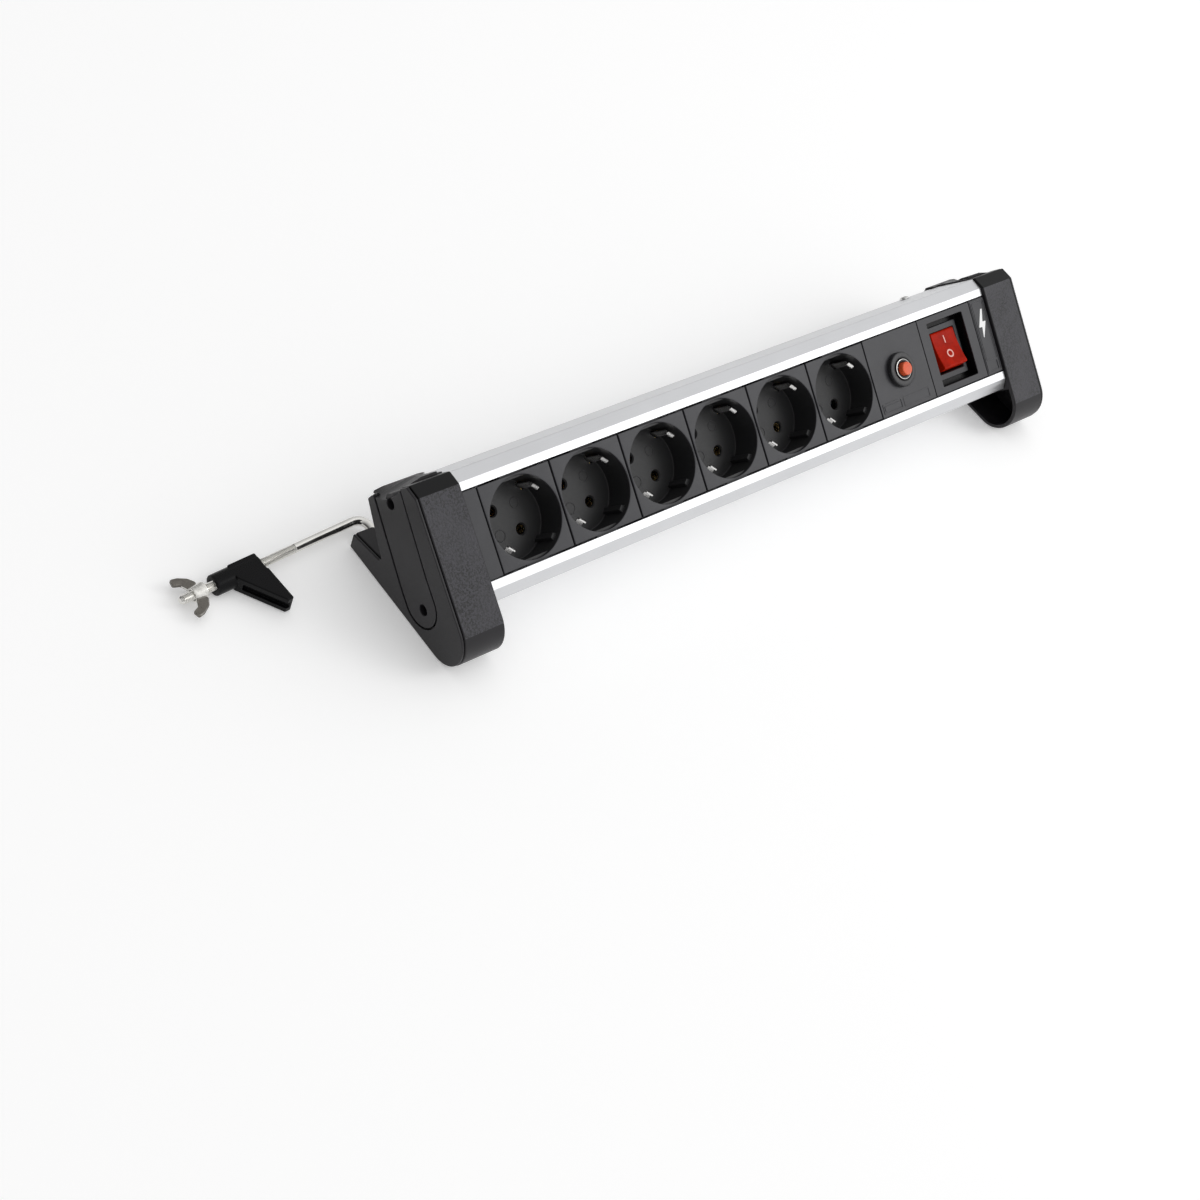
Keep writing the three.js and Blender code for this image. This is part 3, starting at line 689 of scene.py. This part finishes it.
def make_breaker():
    face = plate(BREAKER_X - FACE / 2, BREAKER_X + FACE / 2)
    hole = cylinder(NECK_HOLE_R, -1, 5, "Y", (BREAKER_X, MID))
    low = 2.0
    raised = [
        frame_line(BREAKER_X - 20.6, BREAKER_X - 5.4, low, low + 5.6),
        frame_line(BREAKER_X - 3.8, BREAKER_X + 17.6, low, low + 5.6, 0.35, 0.2),
        block((BREAKER_X - 19.4, BREAKER_X - 6.6), (-0.3, 0.3), (low + 1.3, low + 4.3), 0.12),
    ]
    piece("breaker_front", join(cut(face, hole), *raised, *hooks(BREAKER_X, HOOK_WIDTH)), panel_black,
          stands_for="breaker_plate")

    nut = [
        (NECK_HOLE_R, -0.3), (9.5, -0.3), (9.8, -0.6), (9.8, -2.3), (9.5, -2.85),
        (8.9, -3.1), (7.1, -3.1), (6.5, -2.85), (NECK_HOLE_R, -2.3),
    ]
    piece("breaker_ring", lathe(nut, "Y", (BREAKER_X, MID), 96), component_black, stands_for="breaker_nut")

    neck = [
        (BUTTON_BORE, 16), (BUTTON_BORE, -3.0), (4.35, -3.3), (4.7, -3.4), (5.4, -3.4),
        (5.68, -3.3), (5.8, -3.05), (5.8, 6), (5.8, 16),
    ]
    case = block((BREAKER_X - 8, BREAKER_X + 8), (PLATE + 0.3, 29), (MID - 17, MID + 17), 0.6)
    bore = cylinder(BUTTON_BORE, -5, 16, "Y", (BREAKER_X, MID))
    slots = [
        block((BREAKER_X - 3.5, BREAKER_X + 3.5), (26, 30), (MID + z - 0.7, MID + z + 0.7), 0.1)
        for z in (-9, 9)
    ]
    body = join(cut(case, bore, *slots), lathe(neck, "Y", (BREAKER_X, MID), 72))
    choose_finish(body, lambda m: m.y < -2.2 and math.hypot(m.x - BREAKER_X, m.z - MID) > 5.2)
    piece("breaker_case", body, [component_black, plated_rod], stands_for="breaker_body")

    button = [
        (0, 12), (3.75, 12), (3.75, -5.5), (3.6, -5.95), (3.2, -6.2),
        (2.4, -6.12), (1.2, -6.0), (0, -5.96),
    ]
    piece("reset_button", lathe(button, "Y", (BREAKER_X, MID), 64), orange, "breaker_button",
          stands_for="breaker_button")


POCKET_W, POCKET_H = 30, 37
BEZEL_W, BEZEL_H = 25, 31
BODY_W, BODY_H = 21.4, 27.4
SWITCH_FACE = 4.6  # depth of the bezel's face below the plate's
ROCKER_PIVOT = 8.6  # depth of the pivot
ROCKER_TILT = 12


def centred(width, height, y0, y1, radius=0.5, rim=0.25):
    return prism(oblong(SWITCH_X, MID, width, height, radius), y0, y1, "Y", rim)


def make_switch():
    floor = SWITCH_FACE + 2
    tub = centred(POCKET_W + 3, POCKET_H + 3, 1, floor + 1.6, 1.2)
    pocket = skin([
        [(a, y, b) for a, b in oblong(SWITCH_X, MID, POCKET_W + grow, POCKET_H + grow, 0.8)]
        for grow, y in ((0.8, -0.4), (0.0, 0.4), (-0.2, floor))
    ])
    through = centred(BODY_W + 0.6, BODY_H + 0.6, 0, 12, 0.4, 0)
    tubbed = join(plate(SWITCH_X - FACE / 2, SWITCH_X + FACE / 2), tub)
    shell = join(cut(tubbed, pocket, through), *hooks(SWITCH_X, HOOK_WIDTH))
    # The pocket's walls and floor take the near-black jaw plastic as painted shade.
    choose_finish(shell, lambda m: 0.8 < m.y < floor + 0.1)
    piece("switch_front", shell, [panel_black, jaw_black_and_painted_shade], stands_for="switch_plate")

    window = skin([
        [(a, y, b) for a, b in oblong(SWITCH_X, MID, 20.2 + grow, 24.2 + grow, 0.5)]
        for grow, y in ((1.2, SWITCH_FACE - 0.4), (0.0, SWITCH_FACE + 0.5), (0.0, 24))
    ])
    slots = [
        block((SWITCH_X + dx - 0.7, SWITCH_X + dx + 0.7), (26, 30), (MID + dz - 3.5, MID + dz + 3.5), 0.1)
        for dx in (-5, 5) for dz in (-7, 7)
    ]
    bezel = centred(BEZEL_W, BEZEL_H, SWITCH_FACE, floor - 0.3, 1.0, 0.35)
    housing = join(bezel, centred(BODY_W, BODY_H, SWITCH_FACE + 1, 29, 0.6))
    piece("switch_case", cut(housing, window, *slots), panel_black, stands_for="switch_housing")


ROCKER_PLACE = (
    PANEL
    @ Matrix.Translation((SWITCH_X, ROCKER_PIVOT, MID))
    @ Matrix.Rotation(math.radians(-ROCKER_TILT), 4, "X")
)


def rocker_face(z):
    """Depth of the rocker's hollowed front at a height."""
    return -5.4 - 1.0 * (z / 10.3) ** 2


def make_rocker():
    front = [(rocker_face(z), z) for z in [-9.9 + 1.1 * i for i in range(19)]]
    upper_back = [(-6.2, 10.4), (-5.7, 10.9), (-2, 11.3), (3, 10.2), (5, 4)]
    lower_back = [(y, -z) for y, z in upper_back[::-1]]
    body = prism(front + upper_back + lower_back, -9.75, 9.75, "X", 0.55)
    piece("rocker_lens", body, red_lens, "rocker", ROCKER_PLACE, "rocker")

    def on_face(outline):
        """A thin printed shape that follows the hollow front."""
        low = [(a, rocker_face(b) + 0.25, b) for a, b in outline]
        high = [(a, rocker_face(b) - 0.06, b) for a, b in outline]
        return skin([low, high])

    line = oblong(0, 5.6, 0.8, 4.4, 0.3)
    piece("on_mark", on_face(line), mark_print, "rocker", ROCKER_PLACE)
    outer, inner = [arc((0, -3.2), radius, 0, 353, 50) for radius in (2.45, 1.6)]
    ring = cut(on_face(outer), skin([[(a, y, b) for a, b in inner] for y in (-8, -3)]))
    piece("off_mark", ring, mark_print, "rocker", ROCKER_PLACE)


# ---- Feet, in their own axes: X = 0 is the face beside the panel, and the foot reaches out to X = -26 ----
TOE = (14, -17.56)  # middle of the toe's arc
TOE_R = 16
SOLE_ANGLE = 360 - (90 - math.degrees(LEAN))
GRAIN_TOP, GRAIN_LOW = 49.2, -21  # the grained band on the front
SIDE_PLATE = 1.5  # thickness
WIDER = 0.45  # what the side plate's window gains at its front
END_WALL = 2.7  # the wall beside the panel
EAR = 4.2  # how far the cap's ear reaches over the profile
ROD_Z = 5.6  # height of the clamp's rod above the ground
WEB_OUT = -FOOT_WIDTH + SIDE_PLATE + 0.3  # the wall behind the side plate
WEB_IN = WEB_OUT + 1.6
FOOT_PLACE = {
    "left": PANEL @ Matrix.Translation((LEFT_END, 0, 0)),
    "right": PANEL @ Matrix.Translation((RIGHT_END, 0, 0)) @ Matrix.Scale(-1, 4, (1, 0, 0)),
}
FOOT_FROM_WORLD = FOOT_PLACE["left"].inverted() @ Matrix.Scale(MM, 4)  # for the world's millimetres


def foot_outline():
    toe = [(*p, 0) for p in arc(TOE, TOE_R, 180, SOLE_ANGLE, 36)]
    corners = [
        (36.4, 55.6, 0), (9.2, 56, 0), (2.6, 56, 1.2), (-2, 49.3, 1.4), *toe,
        (71.7, 32.7, 1.0), (64.4, 38.6, 1.0), (46.6, 22.2, 1.6), (40.2, 54.6, 1.2),
    ]
    return rounded(corners, 0.6, 5)


def tongue(grow, top=60):
    """The tongue's outline, made larger by a distance, up to a height."""
    low_end = arc((24.25, -1.2), 11.95 + grow, 180, 360, 28)
    rear = [(36.2 + grow, 8), (34.8 + grow, 28.3), (32.7 + grow, top)]
    return [(9.5 - grow, top), (12.3 - grow, 12), *low_end, *rear]


def hollow_outline():
    """The room inside the foot."""
    toe = arc(TOE, TOE_R - 2, 180, SOLE_ANGLE, 36)
    front = [(9.2, 60), (9.2, 54), (3.8, 54), (0, 48.4)]
    rear = [(55.1, 13.5), (47.1, 19.5), (44.6, 21.8), (38.2, 54.2), (37.4, 60)]
    return front + toe + rear


def bar(ys, zs, xs):
    """A plain cutting box, drawn out along X."""
    return prism(box_corners(ys, zs), *xs, "X", 0)


def drill(radius, x0, x1, spot, sides, mouth=0.0):
    """A round cutter along X, with a flared mouth at its low end."""
    wide = radius + mouth
    profile = [(0, x0), (wide, x0), (wide, x0 + 1), (radius, x0 + 1 + mouth), (radius, x1), (0, x1)]
    return lathe(profile, "X", spot, sides)


def make_bracket(side):
    whole = prism(foot_outline(), WEB_OUT, 0, "X", 0.7)
    low_arc = arc(TOE, TOE_R - 2, 180, SOLE_ANGLE, 36)
    tools = [
        prism(hollow_outline(), WEB_IN, -END_WALL, "X", 0),
        prism([(0, -11.5), *low_arc, (36.1, -11.5)], -END_WALL - 1, 1, "X", 0),
        bar((9.2, 37.6), (51.9, 62), (WEB_IN, 1)),
        prism(tongue(0.4, 62), WEB_OUT - 1, WEB_IN + 0.1, "X", 0),
    ]
    tools += [drill(SCREW_HOLE_R, -8, 2, spot, 20) for spot in (UPPER_SCREW, LOWER_SCREW)]
    rod_holes = [
        lathe([(0, 40), (2.8, 40), (2.8, 76), (3.3, 80), (0, 80)], "Y", (0, ROD_Z), 32),
        cylinder(4.4, 36, 43.9, "Y", (0, ROD_Z), 32),
    ]
    tools += [moved(hole, FOOT_FROM_WORLD) for hole in rod_holes]
    shell = cut(whole, *tools)
    # Front faces within the grained band take the grained plastic. Faces above the band (the foot's top)
    # take the darker painted-shade plastic.
    for face in shell.faces:
        middle = face.calc_center_median()
        if face.normal.y < -0.97 and middle.y < -1.3 and GRAIN_LOW < middle.z < GRAIN_TOP:
            face.material_index = 1
        elif middle.z > GRAIN_TOP:
            face.material_index = 2
    piece(f"{side}_bracket", shell, [foot_smooth, foot_textured, foot_top_painted_shade], place=FOOT_PLACE[side],
          stands_for=f"{side}_foot")


def make_side_plate(side):
    outside = -FOOT_WIDTH
    front, rear = 10, 36
    window = skin([
        [(x, a - WIDER * (rear - a) / (rear - front), b) for a, b in tongue(grow, 62)]
        for grow, x in ((1.3, outside - 0.2), (0.95, outside + 0.15), (0.95, outside + 4))
    ])
    shell = cut(prism(inset(foot_outline(), 0.35), outside, outside + SIDE_PLATE, "X", 0.45, 0.5), window)
    piece(f"{side}_cover", shell, foot_smooth, place=FOOT_PLACE[side], stands_for=f"{side}_side_plate")


SCOOP_R = 32
SCOOP_SPOT = (22.5, 90.1)  # of the scoop's axis, in Y and Z
SCOOP_SLOPE = -0.209


def make_end_cap(side):
    front, back = -FOOT_WIDTH + 0.2, -END_WALL - 0.3
    top_outline = [(9.7, 52.3), (37.3, 52.3), (37.3, 55.5), (40, 55.5), (37.6, 57.6), (9.7, 56.6)]
    ear_outline = [(31, 56.9), (33, 57.6), (37.6, 57.6), (40.2, 55.5), (37.3, 55.5), (35.4, 56.9)]
    core = prism(tongue(0, 57.6), front, back, "X", 0.25, 0.1)
    top = prism(rounded(top_outline, 0.4, 3), WEB_IN + 0.3, 0, "X", 0.15)
    ear = prism(ear_outline, -0.5, EAR, "X", 0.02, 0.25)
    hook = prism([(39.4, 56.2), (41, 55.4), (41.2, 47), (39.4, 47)], 0.3, EAR, "X", 0.02, 0.25)
    room = prism([(-5, 40), (-5, 56.9), (35.4, 56.9), (39.1, 53.5), (39.1, 40)], 0.01, 9, "X", 0)
    scoop = moved(
        cylinder(SCOOP_R, -60, 60, "X", (SCOOP_SPOT[0], 0), 128),
        Matrix.Translation((0, 0, SCOOP_SPOT[1])) @ Matrix.Rotation(SCOOP_SLOPE, 4, "Y"),
    )
    hollow = meet(prism(tongue(-2.2), front + 2.5, 1, "X", 0), bar((0, 50), (-20, 45), (-40, 5)))
    bosses = [
        meet(cylinder(5, front + 1, back, "X", spot, 48), prism(tongue(-0.05), -40, 5, "X", 0))
        for spot in (UPPER_SCREW, LOWER_SCREW)
    ]
    wells = []
    for spot in (UPPER_SCREW, LOWER_SCREW):
        wells += [drill(3, front - 1, -10.2, spot, 48, 0.25), drill(SCREW_HOLE_R, -11, 1, spot, 24)]
    outside = cut(join(core, top, ear, hook), room, scoop, hollow)
    piece(f"{side}_cap", cut(join(outside, *bosses), *wells), foot_smooth, place=FOOT_PLACE[side],
          stands_for=f"{side}_end_cap")


def cross_recess(width, length, low, high, axis):
    """A cutter for the cross in a screw's head."""
    half, arm = width / 2, length / 2
    outline = [
        (half, half), (half, arm), (-half, arm), (-half, half), (-arm, half), (-arm, -half),
        (-half, -half), (-half, -arm), (half, -arm), (half, -half), (arm, -half), (arm, half),
    ]
    return prism(outline, low, high, axis, 0)


def make_cap_screws(side):
    head = [(0, -13.2), (1.9, -13.1), (2.5, -12.7), (2.7, -12.1), (2.7, -10.5)]
    shank = [(1.45, -10.5), (1.45, 13.4), (0.9, 14), (0, 14)]
    for name, (y, z) in (("upper", UPPER_SCREW), ("lower", LOWER_SCREW)):
        driver = moved(cross_recess(0.6, 3, -15, -12.1, "X"), Matrix.Translation((0, y, z)))
        screw = cut(lathe(head + shank, "X", (y, z), 40), driver)
        piece(f"{side}_{name}_cap_screw", screw, zinc, place=FOOT_PLACE[side],
              stands_for=f"{side}_{name}_screw")


# ---- Clamps, in the axes of the rod's corner: the long arm points along -X, the short leg along -Y ----
ROD_CORNER = Vector((0, 48.1, ROD_Z))
ROD_LEAN = 4.3
ROD_R = 2.4
ROD_BEND = 7.5
ROD_SIDES = 28
LEG_END = -40
THREAD_R = 2.5
THREAD_START = 42.5
THREAD_PITCH = 0.8
THREAD_DEPTH = 0.52
THREAD_STEPS = 7  # rings in one turn
ROD_REACH = 110
UPRIGHT = Vector((0, 0, 1))
JAW_FACE = 64  # from the corner to the pad
SLEEVE = 27.2  # from the pad to the sleeve's far end
NUT_START = 96.2  # from the corner to the nut
RIGHT_ROD_X = 408.6  # from the left rod to the right one


def clamp_place(side):
    x = 0 if side == "left" else RIGHT_ROD_X
    return Matrix.Scale(MM, 4) @ Matrix.Translation(ROD_CORNER + Vector((x, 0, 0)))


def arm_place(side):
    return clamp_place(side) @ Matrix.Rotation(math.radians(ROD_LEAN), 4, "Z")


def rod_ring(here, ahead, radii):
    """A ring about the rod's centreline, with a radius for each of its points."""
    side_way = ahead.cross(UPRIGHT)
    turns = [2 * math.pi * s / ROD_SIDES for s in range(ROD_SIDES)]
    return [
        here + (side_way * math.cos(t) + UPRIGHT * math.sin(t)) * radius
        for t, radius in zip(turns, radii)
    ]


def bar_rings(tip):
    """The smooth part: the short leg, the bend and the start of the long arm."""
    path = [Vector((0, LEG_END, 0)), Vector((0, LEG_END + 0.6, 0)), Vector((0, -ROD_BEND - 4, 0))]
    for k in range(15):
        t = k / 14
        path.append(Vector((0, -ROD_BEND, 0)) * (1 - t) ** 2 + tip * ROD_BEND * t ** 2)
    path += [tip * 20, tip * (THREAD_START - 0.8)]
    rings = []
    for i, here in enumerate(path):
        ahead = (path[min(i + 1, len(path) - 1)] - path[max(i - 1, 0)]).normalized()
        radius = ROD_R - 0.6 if i == 0 else ROD_R
        rings.append(rod_ring(here, ahead, [radius] * ROD_SIDES))
    return rings


def thread_rings(tip):
    """The thread's helix, which fades in over one turn and tapers at the end."""
    rings = []
    count = int((ROD_REACH - 0.5 - THREAD_START) / THREAD_PITCH * THREAD_STEPS)
    for k in range(count + 1):
        turns_left = (count - k) / THREAD_STEPS
        fade = min(1, k / THREAD_STEPS, turns_left * 1.2 + 0.05)
        taper = 0.5 * max(0, 1 - turns_left)
        radii = []
        for s in range(ROD_SIDES):
            share = (k / THREAD_STEPS + s / ROD_SIDES) % 1
            crest = 1 - abs(2 * share - 1)
            radii.append(THREAD_R - 0.02 - THREAD_DEPTH * (1 - min(1, crest * 1.35)) * fade - taper)
        rings.append(rod_ring(tip * (THREAD_START + k * THREAD_PITCH / THREAD_STEPS), tip, radii))
    return rings


def make_rod(side):
    """A bent bar whose outer half carries a real thread."""
    lean = math.radians(ROD_LEAN)
    tip = Vector((-math.cos(lean), -math.sin(lean), 0))
    rings = bar_rings(tip) + thread_rings(tip)
    rings.append([tip * ROD_REACH + (p - tip * (p.dot(tip))) * 0.8 for p in rings[-1]])
    piece(f"{side}_rod", skin(rings), plated_rod, f"{side}_clamp", clamp_place(side),
          f"{side}_clamp_rod")


def make_jaw(side):
    pad = -JAW_FACE
    out = pad - 0.6
    bore = THREAD_R + 0.3
    low, high = pad - SLEEVE, out
    corner = [(bore, 0.5), (bore + 0.5, 0), (4.7, 0), (5.15, 0.2), (5.4, 0.7)]
    sleeve = [(radius, low + a) for radius, a in corner]
    sleeve += [(radius, high - a) for radius, a in corner[::-1]]
    outline = rounded([
        (out, 4.4, 0.8), (out, -6, 0), (pad, -6.6, 0), (pad, -27, 0.8), (out - 2.9, -27, 0.8),
        (out - 16.4, -4.4, 1.5), (out - 16.4, 4.4, 1.0),
    ], 0.6, 5)
    slant = rounded([(out - 1.8, -29), (out - 14.8, -7.4), (out - 13.2, -6.4), (out - 0.2, -28)], 0.3, 2)
    groove = skin([[(a, b, z) for a, b in slant] for z in (-2.2, -1.7, 1.7, 2.2)])
    rod_room = cylinder(bore, pad - 40, pad + 5, "X", (0, 0), 48)
    arm = cut(prism(outline, -5, 5, "Z", 0.7), rod_room, groove)
    piece(f"{side}_jaw_body", join(lathe(sleeve, "X"), arm), jaw_black_and_painted_shade, f"{side}_jaw", arm_place(side),
          f"{side}_clamp_jaw")


def make_wing_nut(side):
    start = -NUT_START
    bore = THREAD_R + 0.3
    hub = [
        (bore, start - 0.3), (bore + 0.3, start), (4.0, start), (4.35, start - 0.3), (4.4, start - 0.8),
        (3.75, start - 6.4), (3.5, start - 6.9), (bore + 0.3, start - 7), (bore, start - 6.7),
    ]
    shape = [
        (-2, 2.6, 0), (-1.2, 5.6, 1.5), (-3.4, 9, 2), (-7.6, 11.6, 2),
        (-11.4, 12.4, 1), (-12.2, 8.6, 1), (-8.6, 7.2, 1.4), (-6.4, 2.6, 0),
    ]
    wings = []
    for way in (-1, 1):
        outline = rounded([(start + x, way * y, r) for x, y, r in shape], 1, 5)
        wings.append(prism(outline, -1, 1, "Z", 0.45))
    room = cylinder(bore, start - 9, start + 2, "X", (0, 0), 40)
    nut = cut(join(lathe(hub, "X", (0, 0), 56), *wings), room)
    # Faces beyond the hub (the wings) take the darker painted-shade metal.
    choose_finish(nut, lambda m: math.hypot(m.y, m.z) > 4.6)
    piece(f"{side}_winged_nut", nut, [plated_nut, nut_wings_painted_shade], f"{side}_nut", arm_place(side),
          f"{side}_wing_nut")


# ---- Back: cable gland; top: earth screw ----
def make_gland():
    spot = (GLAND_X, GLAND_Z)
    hexagon = arc(spot, 9.2, 0, 300, 5)
    chamfered = [(0, 38.9), (8.6, 38.9), (9.25, 39.4), (9.25, 41.4), (7.97, 42), (0, 42)]
    nut = meet(prism(hexagon, 38.9, 42, "Y", 0), lathe(chamfered, "Y", spot, 72))
    threaded = [(0, 33.8), (5.9, 33.8), (GLAND_R, 34.2), (GLAND_R, 39.2), (0, 39.2)]
    thread = lathe(threaded, "Y", spot, 64)
    dome = [
        (0, 41.9), (7.4, 41.9), (7.4, 43.6), (7.15, 44.0), (7.15, 44.4), (7.3, 44.8),
        (7.1, 46.2), (6.6, 47.4), (5.8, 48), (4.4, 48), (3.9, 47.7), (0, 47.7),
    ]
    hole = cylinder(3.6, 30, 60, "Y", spot, 48)
    grip_count = 16
    grips = []
    for k in range(grip_count):
        turn = Matrix.Rotation(2 * math.pi * k / grip_count, 4, "Y")
        groove = block((-0.5, 0.5), (42.2, 46.8), (6.9, 8.2), 0.2)
        grips.append(moved(groove, Matrix.Translation((GLAND_X, 0, GLAND_Z)) @ turn))
    capped = cut(lathe(dome, "Y", spot, 72), *grips)
    piece("gland_body", cut(join(nut, thread, capped), hole), component_black, stands_for="cable_gland")


def make_earth_screw():
    head = [(0, 57.9), (1.6, 57.85), (2.4, 57.55), (2.8, 57.1), (2.9, 56.7)]
    shank = [(1.5, 56.7), (1.5, 50.8), (1.2, 50.5), (0, 50.5)]
    driver = moved(cross_recess(0.55, 2.8, 57.1, 59, "Z"), Matrix.Translation((EARTH_X, EARTH_Y, 0)))
    screw = cut(lathe(head + shank, "Z", (EARTH_X, EARTH_Y), 40), driver)
    piece("earth_screw_head", screw, zinc, stands_for="earth_screw")


# ---- Pieces inside the body ----
def dress_inside():
    """Rails, terminals, leads and clips. The leads are round, so their edges aren't bevelled."""
    finishes = {
        "phase_rail": brass, "neutral_rail": brass, "earth_rail": brass, "rear_insulator": card,
        "indicator_lamp": lamp_glass, "gland_nut": component_black, "live_lead": brown, "neutral_lead": blue,
        "earth_lead": green, "left_rod_clip": zinc, "right_rod_clip": zinc,
        **{f"breaker_terminal_{i}": brass for i in (1, 2)},
        **{f"switch_terminal_{i}": brass for i in (1, 2, 3, 4)},
    }
    for node, used in finishes.items():
        dress(node, used, 0.0 if node.endswith("lead") else 0.08)


# ---- Studio ----
def area_light(name, place, aim, size, power):
    data = bpy.data.lights.new(name, "AREA")
    data.size = size
    data.energy = power
    made = bpy.data.objects.new(name, data)
    made.location = place
    made.rotation_mode = "QUATERNION"
    made.rotation_quaternion = (Vector(aim) - Vector(place)).to_track_quat("-Z", "Y")
    bpy.context.scene.collection.objects.link(made)


SOFTBOX_WAY = (0.72, -0.42, 0.55)  # the studio's bright side


def make_floor():
    half = 6
    floor = bpy.data.meshes.new("floor")
    floor.from_pydata([(x, y, 0) for x, y in box_corners((-half, half), (-half, half))], [], [(0, 1, 2, 3)])
    paper = bpy.data.materials.new("paper")
    paper.use_nodes = True
    surface = paper.node_tree.nodes["Principled BSDF"].inputs
    surface["Base Color"].default_value = (0.93, 0.93, 0.93, 1)
    surface["Roughness"].default_value = 0.9
    surface["Emission Color"].default_value = (1, 1, 1, 1)
    surface["Emission Strength"].default_value = 0.22
    floor.materials.append(paper)
    made = bpy.data.objects.new("floor", floor)
    bpy.context.scene.collection.objects.link(made)


def make_world():
    """Pale all round for the camera, and brighter on one side for the pieces."""
    world = bpy.data.worlds.new("studio")
    world.use_nodes = True
    tree = world.node_tree
    sky = tree.nodes["Background"]
    sky.inputs["Color"].default_value = (1, 1, 1, 1)
    way = add(tree, "ShaderNodeTexCoord").outputs["Generated"]
    sides = {0: way, 1: SOFTBOX_WAY}
    towards = add(tree, "ShaderNodeVectorMath", sides, operation="DOT_PRODUCT").outputs["Value"]
    seen = add(tree, "ShaderNodeLightPath").outputs["Is Camera Ray"]
    glow = {0: remap(tree, towards, -0.6, 1, 0.06, 1.15), 1: seen}
    strength = add(tree, "ShaderNodeMath", glow, operation="MAXIMUM").outputs[0]
    tree.links.new(strength, sky.inputs["Strength"])
    bpy.context.scene.world = world


make_floor()
make_world()
area_light("key", (1.3, -0.85, 1.15), (0.2, 0, 0.03), 0.8, 6)
bpy.context.scene.view_settings.view_transform = "Standard"
make_profile()
for number in range(1, 7):
    make_socket(number)
    make_earth_clip(number)
make_end_plates()
make_breaker()
make_switch()
make_rocker()
for hand in ("left", "right"):
    make_bracket(hand)
    make_side_plate(hand)
    make_end_cap(hand)
    make_cap_screws(hand)
    make_rod(hand)
    make_jaw(hand)
    make_wing_nut(hand)
make_gland()
make_earth_screw()
dress_inside()
